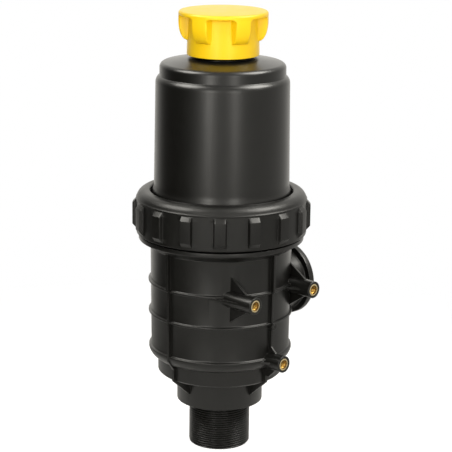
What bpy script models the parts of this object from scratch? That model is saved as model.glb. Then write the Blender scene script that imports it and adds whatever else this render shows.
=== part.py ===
"""A column-shaped suction filter for liquids, standing on its threaded lower port.

The lower body carries the threaded port, the side port, three mounting bosses and stiffening ribs. The top
cover is clamped to it by a ring nut. The yellow control knob screws on the cover's neck: it lifts a shut-off
plug through a long stem, and turns two wiper blades that clean the filter mesh.
Sizes are in metres. All heights are measured up from the end face of the threaded port.
"""

from math import asin, cos, degrees, pi, radians, sin, tan

import bmesh
import bpy
from mathutils import Matrix, Vector

MM = 0.001
CLEAR = 0.3 * MM

# Facets round a full turn
WIDE_STEPS = 36
NUT_STEPS = 48
INNER_STEPS = 24
SMALL_STEPS = 18
PIN_STEPS = 8
SHARP_ANGLE = radians(35)

# Threaded port, a male G 2 pipe thread
PIPE_R = 59.614 / 2 * MM
PIPE_PITCH = 25.4 / 11 * MM
NIPPLE_LENGTH = 45 * MM
NIPPLE_WALL = 6.3 * MM
THREAD_CHAMFER = 1.5 * MM

# Lower body
COLLAR_OUT = 12.1 * MM
COLLAR_LENGTH = 29.7 * MM
STEP_LENGTH = 16.2 * MM
STEP_IN = 6.5 * MM
SHOULDER_R = 14 * MM
SHOULDER_ANGLES = (15, 60)
SHOULDER_BAND = 3.2 * MM
BARREL_R = 67.3 * MM
BARREL_TAPER = 1.1 * MM
BARREL_LENGTH = 102.6 * MM
RIM_FLANGE_OUT = 8.4 * MM
RIM_FLANGE_CONE = 6.9 * MM
RIM_FLANGE_THICK = 4.1 * MM
RIM_THREAD_OUT = 3.1 * MM
RIM_THREAD_LENGTH = 24.7 * MM
WALL = 4 * MM
BARREL_WALL = 3.5 * MM
FLOOR_THICK = 5 * MM
CHAMBER_FLOOR_THICK = 6 * MM
RIM_BEVEL = 5 * MM
EDGE = 1 * MM
HOOP_HEIGHTS = (136.4 * MM, 167.4 * MM)
HOOP_OUT = 2.4 * MM
HOOP_THICK = 2.4 * MM
RIB_THICK = 2.6 * MM
RIB_OUT = 2.8 * MM
RIB_UPPER_OUT = 4.4 * MM
RIB_ANGLES = (90, 180, 270)
GUSSET_DROP = 17 * MM
GUSSET_ANGLES = (0, 90, 180, 270)

# Side port with its clamp flange
PORT_HEIGHT = 150.5 * MM
PORT_LENGTH = 28.7 * MM
PORT_TUBE_R = 31 * MM
PORT_BORE_R = 26 * MM
PORT_FLANGE_R = 36.5 * MM
PORT_FLANGE_THICK = 6.5 * MM

# Mounting bosses and their brass inserts
BOSS_REACH = 19.2 * MM
BOSS_R = 8.2 * MM
BOSS_SPACING = 80 * MM
BOSS_UPPER_HEIGHT = 165.5 * MM
BOSS_LOWER_HEIGHT = 99.5 * MM
FIN_THICK = 2.4 * MM
FIN_UP = 22 * MM
FIN_UP_LOWER = 17 * MM
FIN_SIDE = 15.5 * MM
FIN_SHORT_OF_FACE = 9 * MM
INSERT_R = 5.8 * MM
INSERT_BORE_R = 3.4 * MM
INSERT_LENGTH = 16 * MM
INSERT_SUNK = 0.3 * MM

# Round stub beside the lower boss, on the front rib
STUB_R = 3.6 * MM
STUB_OUT = 6 * MM
STUB_DIMPLE_R = 1.6 * MM
STUB_HEIGHT = 134 * MM

# Top cover
COVER_IN = 3.3 * MM
COVER_DRAFT = 1.2 * MM
COVER_LEDGE = 3.8 * MM
COVER_LEDGE_HEIGHT = 367.6 * MM
COVER_LEDGE_ROUND = 5.5 * MM
COVER_TOP_HEIGHT = 380 * MM
COVER_TOP_ROUND = 5 * MM
COVER_TOP_SLOPE = 10
COVER_FLARE_OUT = 3 * MM
COVER_FOOT_HEIGHT = 257 * MM
COVER_FLARE_LENGTH = 8 * MM
COVER_FLANGE_THICK = 7.7 * MM
SPIGOT_LENGTH = 16 * MM
SPIGOT_CLEAR = 0.4 * MM
NECK_LENGTH = 41 * MM
NECK_WALL = 4.3 * MM
GLAND_BOSS_R = 12.5 * MM
GLAND_BOSS_UP = 12 * MM
GLAND_BOSS_DOWN = 8 * MM

# Ring nut and slip ring
NUT_WALL = 10.3 * MM
NUT_LUG_OUT = 3.9 * MM
NUT_LUGS = 16
NUT_LUG_WIDTH = 12.4 * MM
NUT_LUG_FIRST_DEGREES = 44.3
NUT_LUG_CHAMFER = 4.4 * MM
NUT_LUG_TOP_DROP = 9.5 * MM
NUT_LUG_BOTTOM_RISE = 2.8 * MM
NUT_BOTTOM_CLEAR = 2 * MM
NUT_TOP_ROUND_R = 9 * MM
NUT_LIP = 3 * MM
NUT_LIP_THICK = 9 * MM
NUT_BOTTOM_BEVEL = 0.8 * MM
SLIP_RING_THICK = 1.4 * MM

# Control knob
KNOB_SKIRT_WALL = 3.2 * MM
KNOB_SKIRT_DRAFT = 0.8 * MM
KNOB_GRIP_OUT = 8.9 * MM
KNOB_GAP = 7.2 * MM
KNOB_TOP_THICK = 6.3 * MM
KNOB_RIM_THICK = 4.9 * MM
KNOB_TOP_ROUND = 2.4 * MM
KNOB_DOME = 0.9 * MM
KNOB_LUGS = 6
KNOB_LUG_DEGREES = 25
KNOB_LUG_LENGTH = 24 * MM
KNOB_LUG_CURVE = 2.5
KNOB_LUG_FIRST_DEGREES = 12
KNOB_HUB_R = 11 * MM
KNOB_HUB_LENGTH = 25 * MM
KNOB_TURNS = 6
KNOB_SEAL_THICK = 1.8 * MM

# Stem, gland and pins
STEM_R = 6 * MM
STEM_SPIGOT_R = 4 * MM
STEM_IN_KNOB = 21 * MM
PIN_R = 1.9 * MM
KNOB_PIN_ALONG = (1, 0, 0)
CARRIER_PIN_ALONG = (0, 1, 0)
BUSH_R = 8.9 * MM
BUSH_HEAD_R = 11.5 * MM
BUSH_HEAD_THICK = 2.2 * MM
STEM_RING_WIRE_R = 1.3 * MM

# Shut-off plug
PLUG_SEAT_WIDTH = 5.5 * MM
PLUG_THICK = 5 * MM
PLUG_HUB_R = 9 * MM
PLUG_HUB_LENGTH = 14 * MM
PLUG_SEAL_THICK = 2.6 * MM
PLUG_SEAL_IN = 1.1 * MM
PLUG_WINGS = 4
PLUG_WING_LENGTH = 27 * MM
PLUG_WING_THICK = 3 * MM
PLUG_WING_ROOM_R = 14 * MM
WASHER_R = 8 * MM
WASHER_THICK = 1.6 * MM
NUT_ACROSS_CORNERS = 15 * MM
PLUG_NUT_THICK = 6.5 * MM

# Filter cartridge and wipers
CAGE_ROOM = 10 * MM
CAGE_WALL = 2.5 * MM
CAGE_RING_WIDTH = 10 * MM
CAGE_END_THICK = 8 * MM
CAGE_BAR_WIDTH = 7 * MM
CAGE_BARS = 6
CAGE_ROWS = 3
CAGE_BAND = 9 * MM
SEAL_THICK = 1.6 * MM
MESH_THICK = 0.6 * MM
WIPER_ARMS = 2
WIPER_HUB_R = 10 * MM
WIPER_HUB_LENGTH = 16 * MM
WIPER_ARM_THICK = 5 * MM
WIPER_HOLDER_DEPTH = 4 * MM
WIPER_END_ROOM = 22 * MM
BLADE_THICK = 2 * MM
BLADE_DEPTH = 4 * MM
BLADE_TIP_CLEAR = 0.8 * MM

# Heights and radii that follow from the sizes above
COLLAR_R = PIPE_R + COLLAR_OUT
COLLAR_TOP = NIPPLE_LENGTH + COLLAR_LENGTH
STEP_TOP = COLLAR_TOP + STEP_LENGTH
STEP_R = BARREL_R - STEP_IN
SHOULDER_FROM, SHOULDER_TO = (radians(angle) for angle in SHOULDER_ANGLES)
BARREL_BOTTOM = STEP_TOP + SHOULDER_R * (sin(SHOULDER_TO) - sin(SHOULDER_FROM))
BARREL_TOP_R = BARREL_R + BARREL_TAPER
RIM_CONE_BOTTOM = BARREL_BOTTOM + BARREL_LENGTH
RIM_FLANGE_BOTTOM = RIM_CONE_BOTTOM + RIM_FLANGE_CONE
RIM_FLANGE_TOP = RIM_FLANGE_BOTTOM + RIM_FLANGE_THICK
RIM_TOP = RIM_FLANGE_TOP + RIM_THREAD_LENGTH
RIM_THREAD_R = BARREL_TOP_R + RIM_THREAD_OUT
RIM_FLANGE_R = RIM_THREAD_R + RIM_FLANGE_OUT
CAVITY_R = BARREL_R - BARREL_WALL
NIPPLE_BORE_R = PIPE_R - NIPPLE_WALL
PORT_REACH = BARREL_R + PORT_LENGTH
BOSS_FACE = BARREL_R + BOSS_REACH
COVER_R = BARREL_R - COVER_IN
COVER_BASE_R = COVER_R + COVER_DRAFT
COVER_FOOT_R = COVER_BASE_R + COVER_FLARE_OUT
COVER_TIER_R = COVER_R - COVER_LEDGE
COVER_FLANGE_R = RIM_THREAD_R - CLEAR
FLOOR_TOP = COLLAR_TOP + FLOOR_THICK
SEAT_TOP = NIPPLE_LENGTH + CHAMBER_FLOOR_THICK
FLANGE_BOTTOM = RIM_TOP + CLEAR
FLANGE_TOP = FLANGE_BOTTOM + COVER_FLANGE_THICK
NUT_SHELF = FLANGE_TOP + SLIP_RING_THICK + 2 * CLEAR
NUT_BOTTOM = RIM_FLANGE_TOP + NUT_BOTTOM_CLEAR
NUT_TOP = NUT_SHELF + NUT_LIP_THICK
NUT_BORE_R = COVER_FLANGE_R + 2 * CLEAR
NUT_HOLE_R = NUT_BORE_R - NUT_LIP
NUT_R = NUT_BORE_R + NUT_WALL
NUT_LUG_R = NUT_R + NUT_LUG_OUT
COVER_INSIDE_TOP = COVER_TOP_HEIGHT - WALL
SPIGOT_R = CAVITY_R - SPIGOT_CLEAR
NECK_TOP = COVER_TOP_HEIGHT + NECK_LENGTH
NECK_BORE_R = PIPE_R - NECK_WALL
KNOB_BORE_R = PIPE_R + 2 * CLEAR
KNOB_SKIRT_R = KNOB_BORE_R + KNOB_SKIRT_WALL
KNOB_SKIRT_FOOT_R = KNOB_SKIRT_R + KNOB_SKIRT_DRAFT
KNOB_R = KNOB_SKIRT_R + KNOB_GRIP_OUT
KNOB_INSIDE_TOP = NECK_TOP + KNOB_SEAL_THICK + 2 * CLEAR
KNOB_TOP = KNOB_INSIDE_TOP + KNOB_TOP_THICK
KNOB_BOTTOM = COVER_TOP_HEIGHT + KNOB_GAP
KNOB_HUB_BOTTOM = KNOB_INSIDE_TOP - KNOB_HUB_LENGTH
PLUG_R = NIPPLE_BORE_R + PLUG_SEAT_WIDTH
PLUG_SEAL_BORE_R = NIPPLE_BORE_R + PLUG_SEAL_IN
PLUG_SEAL_BOTTOM = SEAT_TOP + CLEAR
PLUG_BOTTOM = PLUG_SEAL_BOTTOM + PLUG_SEAL_THICK + CLEAR
PLUG_TOP = PLUG_BOTTOM + PLUG_THICK
PLUG_HUB_BOTTOM = PLUG_TOP - PLUG_HUB_LENGTH
CAGE_BOTTOM = FLOOR_TOP + SEAL_THICK + 2 * CLEAR
CAGE_TOP = COVER_INSIDE_TOP - SEAL_THICK - 2 * CLEAR
CAGE_R = COVER_R - WALL - CAGE_ROOM
CAGE_RING_BORE_R = CAGE_R - CAGE_RING_WIDTH
MESH_R = CAGE_R - CAGE_WALL - CLEAR
WIPER_BOTTOM = CAGE_BOTTOM + WIPER_END_ROOM
KNOB_LIFT = KNOB_TURNS * PIPE_PITCH
WIPER_TOP = CAGE_TOP - WIPER_END_ROOM - KNOB_LIFT
BLADE_TIP_R = MESH_R - MESH_THICK - BLADE_TIP_CLEAR
BLADE_ROOT_R = BLADE_TIP_R - BLADE_DEPTH

# The column stands off the middle of the footprint, because only one side carries the port
AXIS_X = -(PORT_REACH - NUT_LUG_R) / 2

COLOURS = {
    "black_polypropylene": ((0.030, 0.031, 0.032), 0.42, 0.0),
    "yellow_polypropylene": ((0.95, 0.72, 0.02), 0.38, 0.0),
    "black_rubber": ((0.012, 0.012, 0.012), 0.75, 0.0),
    "brass": ((0.72, 0.50, 0.20), 0.32, 1.0),
    "stainless_steel": ((0.60, 0.60, 0.62), 0.28, 1.0),
    "steel_mesh": ((0.52, 0.53, 0.54), 0.45, 1.0),
    "white_acetal": ((0.80, 0.80, 0.76), 0.45, 0.0),
    "grey_cage_plastic": ((0.16, 0.17, 0.18), 0.45, 0.0),
}


def clear_scene():
    for obj in list(bpy.data.objects):
        bpy.data.objects.remove(obj)


def new_collection(name):
    collection = bpy.data.collections.new(name)
    bpy.context.scene.collection.children.link(collection)
    return collection


def make_materials():
    for name, (colour, roughness, metallic) in COLOURS.items():
        material = bpy.data.materials.new(name)
        material.use_nodes = True
        shader = material.node_tree.nodes["Principled BSDF"]
        shader.inputs["Base Color"].default_value = (*colour, 1.0)
        shader.inputs["Roughness"].default_value = roughness
        shader.inputs["Metallic"].default_value = metallic
        material.diffuse_color = (*colour, 1.0)


clear_scene()
PARTS = new_collection("suction_filter")
TOOLS = new_collection("cutters")
COLUMN = bpy.data.objects.new("column_axis", None)
COLUMN.location = (AXIS_X, 0, 0)
PARTS.objects.link(COLUMN)
make_materials()


def place(name, mesh, collection):
    """Links a new object whose origin lies on the column's axis."""
    obj = bpy.data.objects.new(name, mesh)
    collection.objects.link(obj)
    obj.parent = COLUMN
    return obj


def as_tool(obj, collection):
    obj.display_type = "WIRE"
    obj.hide_render = True
    TOOLS.objects.unlink(obj)
    collection.objects.link(obj)
    return obj


def arc(centre_r, centre_z, radius, start, end, count):
    """Points along an arc, from one angle to another in degrees, both ends included."""
    points = []
    for i in range(count + 1):
        angle = radians(start + (end - start) * i / count)
        points.append((centre_r + radius * cos(angle), centre_z + radius * sin(angle)))
    return points


def turned(name, profile, steps, along=None, collection=None):
    """Turns a profile of (radius, height) points. It runs down the outer side, and closes by itself
    where it doesn't start and end on the axis."""
    mesh = bpy.data.meshes.new(name)
    points = [(r, 0, z) for r, z in profile]
    edges = [(i, i + 1) for i in range(len(points) - 1)]
    if profile[0][0] > 0 or profile[-1][0] > 0:
        edges.append((len(points) - 1, 0))
    mesh.from_pydata(points, edges, [])
    obj = place(name, mesh, collection or PARTS)
    screw = obj.modifiers.new("Turn", "SCREW")
    screw.steps = screw.render_steps = steps
    screw.use_merge_vertices = True
    screw.merge_threshold = 0.01 * MM
    screw.use_smooth_shade = True
    if along is not None:
        obj.matrix_local = along
    return obj


def rod(name, radius, low, high, steps, along=None, bore=0.0, collection=None):
    """A plain cylinder from low to high, with an optional bore."""
    if bore:
        profile = [(radius, high), (radius, low), (bore, low), (bore, high)]
    else:
        profile = [(0, high), (radius, high), (radius, low), (0, low)]
    return turned(name, profile, steps, along, collection)


def ring(name, radius, wire, height, steps, sides=6):
    """A torus for an O-ring."""
    bpy.ops.mesh.primitive_torus_add(
        major_radius=radius, minor_radius=wire, major_segments=steps, minor_segments=sides
    )
    obj = bpy.context.object
    obj.name = name
    for collection in list(obj.users_collection):
        collection.objects.unlink(obj)
    PARTS.objects.link(obj)
    obj.parent = COLUMN
    obj.location = (0, 0, height)
    return obj


def plate(name, outline, thickness, matrix, collection=None):
    """A flat outline of (x, y) points given a thickness on both sides of its plane."""
    curve = bpy.data.curves.new(name, "CURVE")
    curve.dimensions = "2D"
    curve.fill_mode = "BOTH"
    curve.extrude = thickness / 2
    spline = curve.splines.new("POLY")
    spline.points.add(len(outline) - 1)
    for point, (x, y) in zip(spline.points, outline):
        point.co = (x, y, 0, 1)
    spline.use_cyclic_u = True
    guide = bpy.data.objects.new(name + "_outline", curve)
    bpy.context.scene.collection.objects.link(guide)
    bpy.context.view_layer.update()
    graph = bpy.context.evaluated_depsgraph_get()
    mesh = bpy.data.meshes.new_from_object(guide.evaluated_get(graph))
    bpy.data.objects.remove(guide)
    flat = bmesh.new()
    flat.from_mesh(mesh)
    bmesh.ops.remove_doubles(flat, verts=flat.verts, dist=0.001 * MM)
    bmesh.ops.recalc_face_normals(flat, faces=flat.faces)
    flat.to_mesh(mesh)
    flat.free()
    obj = place(name, mesh, collection or PARTS)
    obj.matrix_local = matrix
    return obj


def upright(angle=0.0, x=0.0, y=0.0):
    """A plane that stands on its edge: outline x runs outwards along the angle, outline y runs up."""
    turn = Matrix.Rotation(radians(angle), 4, "Z")
    return Matrix.Translation((x, y, 0)) @ turn @ Matrix.Rotation(pi / 2, 4, "X")


def level(height, angle=0.0):
    return Matrix.Translation((0, 0, height)) @ Matrix.Rotation(radians(angle), 4, "Z")


def towards(direction, start=(0, 0, 0)):
    """Turns the height axis of a profile to point along a direction."""
    turn = Vector((0, 0, 1)).rotation_difference(Vector(direction)).to_matrix().to_4x4()
    return Matrix.Translation(start) @ turn


def combine(obj, operation, tools):
    """One Boolean with every tool of a list, kept in a collection of their own."""
    group = bpy.data.collections.new(f"{obj.name}_{operation.lower()}")
    TOOLS.children.link(group)
    for tool in tools:
        as_tool(tool, group)
    modifier = obj.modifiers.new(operation.title(), "BOOLEAN")
    modifier.operation = operation
    modifier.solver = "EXACT"
    modifier.operand_type = "COLLECTION"
    modifier.collection = group


def finish(obj, material):
    """Settles the modifiers into the mesh, and shades it smooth except at its real edges."""
    bpy.context.view_layer.update()
    graph = bpy.context.evaluated_depsgraph_get()
    mesh = bpy.data.meshes.new_from_object(obj.evaluated_get(graph))
    obj.modifiers.clear()
    obj.data = mesh
    mesh.name = obj.name
    mesh.materials.clear()
    mesh.materials.append(bpy.data.materials[material])
    mesh.shade_smooth()
    mesh.set_sharp_from_angle(angle=SHARP_ANGLE)
    return obj


def barrel_radius(height):
    """The barrel widens a little upwards, as a moulding does."""
    share = (height - BARREL_BOTTOM) / BARREL_LENGTH
    return BARREL_R + (BARREL_TOP_R - BARREL_R) * share


def body_outline():
    """The outside of the lower body, from its rim down to the thread's end."""
    points = [(0, RIM_TOP), (RIM_THREAD_R - EDGE, RIM_TOP), (RIM_THREAD_R, RIM_TOP - EDGE)]
    points += [(RIM_THREAD_R, RIM_FLANGE_TOP), (RIM_FLANGE_R - EDGE, RIM_FLANGE_TOP)]
    points += [(RIM_FLANGE_R, RIM_FLANGE_TOP - EDGE), (RIM_FLANGE_R, RIM_FLANGE_BOTTOM + EDGE)]
    points += [(RIM_FLANGE_R - EDGE, RIM_FLANGE_BOTTOM), (BARREL_TOP_R, RIM_CONE_BOTTOM)]
    for height in sorted(HOOP_HEIGHTS, reverse=True):
        top, bottom = height + HOOP_THICK / 2, height - HOOP_THICK / 2
        crest = barrel_radius(height) + HOOP_OUT
        points += [(barrel_radius(top), top), (crest, height + HOOP_THICK / 4)]
        points += [(crest, height - HOOP_THICK / 4), (barrel_radius(bottom), bottom)]
    band_top, band_r = BARREL_BOTTOM + SHOULDER_BAND, BARREL_R + HOOP_OUT
    points += [(barrel_radius(band_top), band_top), (band_r, band_top - HOOP_THICK / 4)]
    centre_r = band_r - SHOULDER_R * cos(SHOULDER_FROM)
    centre_z = BARREL_BOTTOM + SHOULDER_R * sin(SHOULDER_FROM)
    first, last = SHOULDER_ANGLES
    points += arc(centre_r, centre_z, SHOULDER_R, -first, -last, 4)
    points += [(STEP_R, STEP_TOP), (STEP_R, COLLAR_TOP + EDGE), (STEP_R - EDGE, COLLAR_TOP)]
    points += [(COLLAR_R, COLLAR_TOP), (COLLAR_R, NIPPLE_LENGTH + EDGE), (COLLAR_R - EDGE, NIPPLE_LENGTH)]
    points += [(PIPE_R, NIPPLE_LENGTH), (PIPE_R, THREAD_CHAMFER), (PIPE_R - THREAD_CHAMFER, 0), (0, 0)]
    return points


def cavity_outline():
    """The hollow of the lower body, from above its rim down through the threaded port."""
    over = 2 * MM
    inner_step = STEP_R - WALL
    inner_shoulder = CAVITY_R - inner_step
    points = [(0, RIM_TOP + over), (CAVITY_R + RIM_BEVEL + over, RIM_TOP + over)]
    points += [(CAVITY_R, RIM_TOP - RIM_BEVEL)]
    points += arc(inner_step, BARREL_BOTTOM + EDGE, inner_shoulder, 0, -90, 3)
    points += [(inner_step, FLOOR_TOP), (COLLAR_R - WALL, FLOOR_TOP), (COLLAR_R - WALL, SEAT_TOP)]
    points += [(NIPPLE_BORE_R + EDGE, SEAT_TOP), (NIPPLE_BORE_R, SEAT_TOP - EDGE)]
    points += [(NIPPLE_BORE_R, -over), (0, -over)]
    return points


def body_ribs():
    """Upright ribs on the barrel that step in with it, and the gussets under the step."""
    ribs = []
    root = CAVITY_R + 1.5 * MM
    upper = max(HOOP_HEIGHTS)
    shoulder_top, shoulder_foot = BARREL_BOTTOM - 0.2 * SHOULDER_R, STEP_TOP - 0.25 * SHOULDER_R
    outline = [(root, RIM_FLANGE_BOTTOM + EDGE), (BARREL_TOP_R + RIB_UPPER_OUT, RIM_FLANGE_BOTTOM + EDGE)]
    outline += [(barrel_radius(upper) + RIB_UPPER_OUT, upper), (barrel_radius(upper) + RIB_OUT, upper - EDGE)]
    outline += [(BARREL_R + RIB_OUT, shoulder_top), (STEP_R + RIB_OUT, shoulder_foot)]
    outline += [(STEP_R + RIB_OUT, COLLAR_TOP + EDGE), (STEP_R - WALL / 2, COLLAR_TOP + EDGE)]
    outline += [(STEP_R - WALL / 2, STEP_TOP)]
    for angle in RIB_ANGLES:
        ribs.append(plate(f"rib_{angle}", outline, RIB_THICK, upright(angle), TOOLS))
    sunk = 2 * MM
    for angle in GUSSET_ANGLES:
        edge = STEP_R + RIB_OUT if angle in RIB_ANGLES else STEP_R - EDGE / 2
        gusset = [(COLLAR_R - sunk, COLLAR_TOP + sunk), (edge - sunk, COLLAR_TOP + sunk)]
        gusset += [(edge, COLLAR_TOP + EDGE), (COLLAR_R + EDGE / 2, COLLAR_TOP - GUSSET_DROP)]
        gusset += [(COLLAR_R - sunk, COLLAR_TOP - GUSSET_DROP)]
        ribs.append(plate(f"gusset_{angle}", gusset, RIB_THICK, upright(angle), TOOLS))
    return ribs


def boss_places():
    """(name, x, height, reach of the fin) of each mounting boss, as seen from the front."""
    half = BOSS_SPACING / 2
    return (
        ("upper_left", -half, BOSS_UPPER_HEIGHT, FIN_UP),
        ("upper_right", half, BOSS_UPPER_HEIGHT, FIN_UP),
        ("lower", 0.0, BOSS_LOWER_HEIGHT, FIN_UP_LOWER),
    )


def boss_tools():
    """The bosses with their fins, and the pockets of the inserts."""
    adders, pockets = [], []
    face = -BOSS_FACE
    fin_end = face + FIN_SHORT_OF_FACE
    pocket_depth = INSERT_LENGTH + INSERT_SUNK + CLEAR
    for name, x, height, fin_up in boss_places():
        wall_y = -(BARREL_R**2 - x**2) ** 0.5
        root = wall_y + 2 * WALL
        front = towards((0, -1, 0), (x, 0, height))
        profile = [(0, BOSS_FACE), (BOSS_R - EDGE / 2, BOSS_FACE), (BOSS_R, BOSS_FACE - EDGE / 2)]
        profile += [(BOSS_R, -root), (0, -root)]
        adders.append(turned(f"boss_{name}", profile, SMALL_STEPS, front, TOOLS))
        fin = [(-root, -fin_up), (-wall_y, -fin_up), (-fin_end, -BOSS_R + EDGE)]
        fin += [(-fin_end, BOSS_R - EDGE), (-wall_y, fin_up), (-root, fin_up)]
        side = upright(-90, x, 0) @ Matrix.Translation((0, height, 0))
        adders.append(plate(f"fin_{name}", fin, FIN_THICK, side, TOOLS))
        left_y = -(BARREL_R**2 - (x - FIN_SIDE) ** 2) ** 0.5
        right_y = -(BARREL_R**2 - (x + FIN_SIDE) ** 2) ** 0.5
        web = [(-FIN_SIDE, left_y), (-BOSS_R + EDGE, fin_end), (BOSS_R - EDGE, fin_end)]
        web += [(FIN_SIDE, right_y), (FIN_SIDE, right_y + 2 * WALL), (-FIN_SIDE, left_y + 2 * WALL)]
        flat = Matrix.Translation((x, 0, height))
        adders.append(plate(f"web_{name}", web, FIN_THICK, flat, TOOLS))
        start, stop = BOSS_FACE - pocket_depth, BOSS_FACE + EDGE
        pockets.append(rod(f"pocket_{name}", INSERT_R + CLEAR, start, stop, SMALL_STEPS, front, 0.0, TOOLS))
    return adders, pockets


def stub_tool():
    """A short round stub on the front rib, with a dimple in its end."""
    end, root = BARREL_R + STUB_OUT, BARREL_R - BARREL_WALL / 2
    profile = [(0, end - EDGE), (STUB_DIMPLE_R, end), (STUB_R - EDGE / 2, end), (STUB_R, end - EDGE / 2)]
    profile += [(STUB_R, root), (0, root)]
    return turned("stub", profile, PIN_STEPS + 4, towards((0, -1, 0), (0, 0, STUB_HEIGHT)), TOOLS)


def port_tools():
    """The side port's tube with its clamp flange, and its bore."""
    along = towards((1, 0, 0), (0, 0, PORT_HEIGHT))
    back = PORT_REACH - PORT_FLANGE_THICK
    profile = [(0, PORT_REACH), (PORT_FLANGE_R - EDGE, PORT_REACH), (PORT_FLANGE_R, PORT_REACH - EDGE)]
    profile += [(PORT_FLANGE_R, back + EDGE), (PORT_FLANGE_R - EDGE, back)]
    profile += [(PORT_TUBE_R + EDGE, back - EDGE), (PORT_TUBE_R, back - 2 * EDGE)]
    profile += [(PORT_TUBE_R, BARREL_R / 2), (0, BARREL_R / 2)]
    tube = turned("port_tube", profile, WIDE_STEPS, along, TOOLS)
    bore = rod("port_bore", PORT_BORE_R, BARREL_R * 0.75, PORT_REACH + EDGE, WIDE_STEPS, along, 0.0, TOOLS)
    return tube, bore


def make_lower_body():
    body = turned("lower_body", body_outline(), WIDE_STEPS)
    bosses, pockets = boss_tools()
    tube, bore = port_tools()
    combine(body, "UNION", body_ribs() + bosses + [stub_tool(), tube])
    cavity = turned("body_cavity", cavity_outline(), WIDE_STEPS, None, TOOLS)
    combine(body, "DIFFERENCE", [cavity, bore] + pockets)
    return finish(body, "black_polypropylene")


def make_inserts():
    for name, x, height, _ in boss_places():
        outside = BOSS_FACE - INSERT_SUNK
        front = towards((0, -1, 0), (x, 0, height))
        insert = rod(
            f"insert_{name}", INSERT_R, outside - INSERT_LENGTH, outside, SMALL_STEPS, front, INSERT_BORE_R
        )
        finish(insert, "brass")


def cover_outline():
    """The top cover's section, down its outside and back up its inside."""
    flare_top = COVER_FOOT_HEIGHT + COVER_FLARE_LENGTH
    top, ledge = COVER_TOP_HEIGHT, COVER_LEDGE_HEIGHT
    round_r, round_z = COVER_TIER_R - COVER_TOP_ROUND, top - COVER_TOP_ROUND
    rounding = arc(round_r, round_z, COVER_TOP_ROUND, 90 - COVER_TOP_SLOPE, 0, 4)
    slope_from, slope_low = rounding[0]
    slope_high = slope_low + (slope_from - PIPE_R) * tan(radians(COVER_TOP_SLOPE))
    points = [(PIPE_R - THREAD_CHAMFER, NECK_TOP), (PIPE_R, NECK_TOP - THREAD_CHAMFER), (PIPE_R, slope_high)]
    lean = asin((COVER_LEDGE_ROUND - COVER_LEDGE) / COVER_LEDGE_ROUND)
    ledge_z = ledge - COVER_LEDGE_ROUND * cos(lean)
    points += rounding
    points += arc(COVER_R - COVER_LEDGE_ROUND, ledge_z, COVER_LEDGE_ROUND, 90 - degrees(lean), 0, 3)
    points += [(COVER_BASE_R, flare_top), (COVER_FOOT_R, COVER_FOOT_HEIGHT), (COVER_FOOT_R, FLANGE_TOP)]
    points += [(COVER_FLANGE_R, FLANGE_TOP), (COVER_FLANGE_R, FLANGE_BOTTOM)]
    points += [(SPIGOT_R, FLANGE_BOTTOM), (SPIGOT_R, RIM_TOP - SPIGOT_LENGTH)]
    points += [(COVER_R - WALL, RIM_TOP - SPIGOT_LENGTH), (COVER_R - WALL, ledge_z - WALL / 2)]
    points += [(COVER_TIER_R - WALL, ledge_z), (COVER_TIER_R - WALL, COVER_INSIDE_TOP)]
    points += [(GLAND_BOSS_R, COVER_INSIDE_TOP)]
    points += [(GLAND_BOSS_R, COVER_INSIDE_TOP - GLAND_BOSS_DOWN)]
    points += [(STEM_R + CLEAR, COVER_INSIDE_TOP - GLAND_BOSS_DOWN), (STEM_R + CLEAR, COVER_INSIDE_TOP)]
    points += [(BUSH_R + CLEAR, COVER_INSIDE_TOP), (BUSH_R + CLEAR, top + GLAND_BOSS_UP)]
    points += [(GLAND_BOSS_R, top + GLAND_BOSS_UP), (GLAND_BOSS_R, top + EDGE), (NECK_BORE_R, top + EDGE)]
    points += [(NECK_BORE_R, NECK_TOP)]
    return points


def make_top_cover():
    cover = turned("top_cover", cover_outline(), WIDE_STEPS)
    return finish(cover, "black_polypropylene")


def nut_outline():
    """The ring nut's section without its lugs: a wide round shoulder, a straight skirt and an inner lip."""
    points = [(NUT_HOLE_R, NUT_TOP - EDGE), (NUT_HOLE_R + EDGE, NUT_TOP)]
    points += arc(NUT_R - NUT_TOP_ROUND_R, NUT_TOP - NUT_TOP_ROUND_R, NUT_TOP_ROUND_R, 90, 0, 5)
    points += [(NUT_R, NUT_BOTTOM + NUT_BOTTOM_BEVEL), (NUT_R - NUT_BOTTOM_BEVEL, NUT_BOTTOM)]
    points += [(NUT_BORE_R + EDGE, NUT_BOTTOM), (NUT_BORE_R, NUT_BOTTOM + EDGE)]
    points += [(NUT_BORE_R, NUT_SHELF), (NUT_HOLE_R, NUT_SHELF)]
    return points


def nut_lugs():
    top = NUT_TOP - NUT_LUG_TOP_DROP
    bottom = NUT_BOTTOM + NUT_LUG_BOTTOM_RISE
    root = NUT_R - WALL
    outline = [(root, top), (NUT_R, top), (NUT_LUG_R, top - NUT_LUG_CHAMFER)]
    outline += [(NUT_LUG_R, bottom + NUT_LUG_CHAMFER), (NUT_R, bottom), (root, bottom)]
    return [
        plate(f"nut_lug_{i}", outline, NUT_LUG_WIDTH, upright(360 * i / NUT_LUGS + NUT_LUG_FIRST_DEGREES), TOOLS)
        for i in range(NUT_LUGS)
    ]


def make_ring_nut():
    nut = turned("ring_nut", nut_outline(), NUT_STEPS)
    combine(nut, "UNION", nut_lugs())
    return finish(nut, "black_polypropylene")


def make_slip_ring():
    low = FLANGE_TOP + CLEAR
    bore = COVER_FOOT_R + CLEAR
    slip = rod("slip_ring", COVER_FLANGE_R, low, low + SLIP_RING_THICK, WIDE_STEPS, None, bore)
    return finish(slip, "white_acetal")


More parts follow.
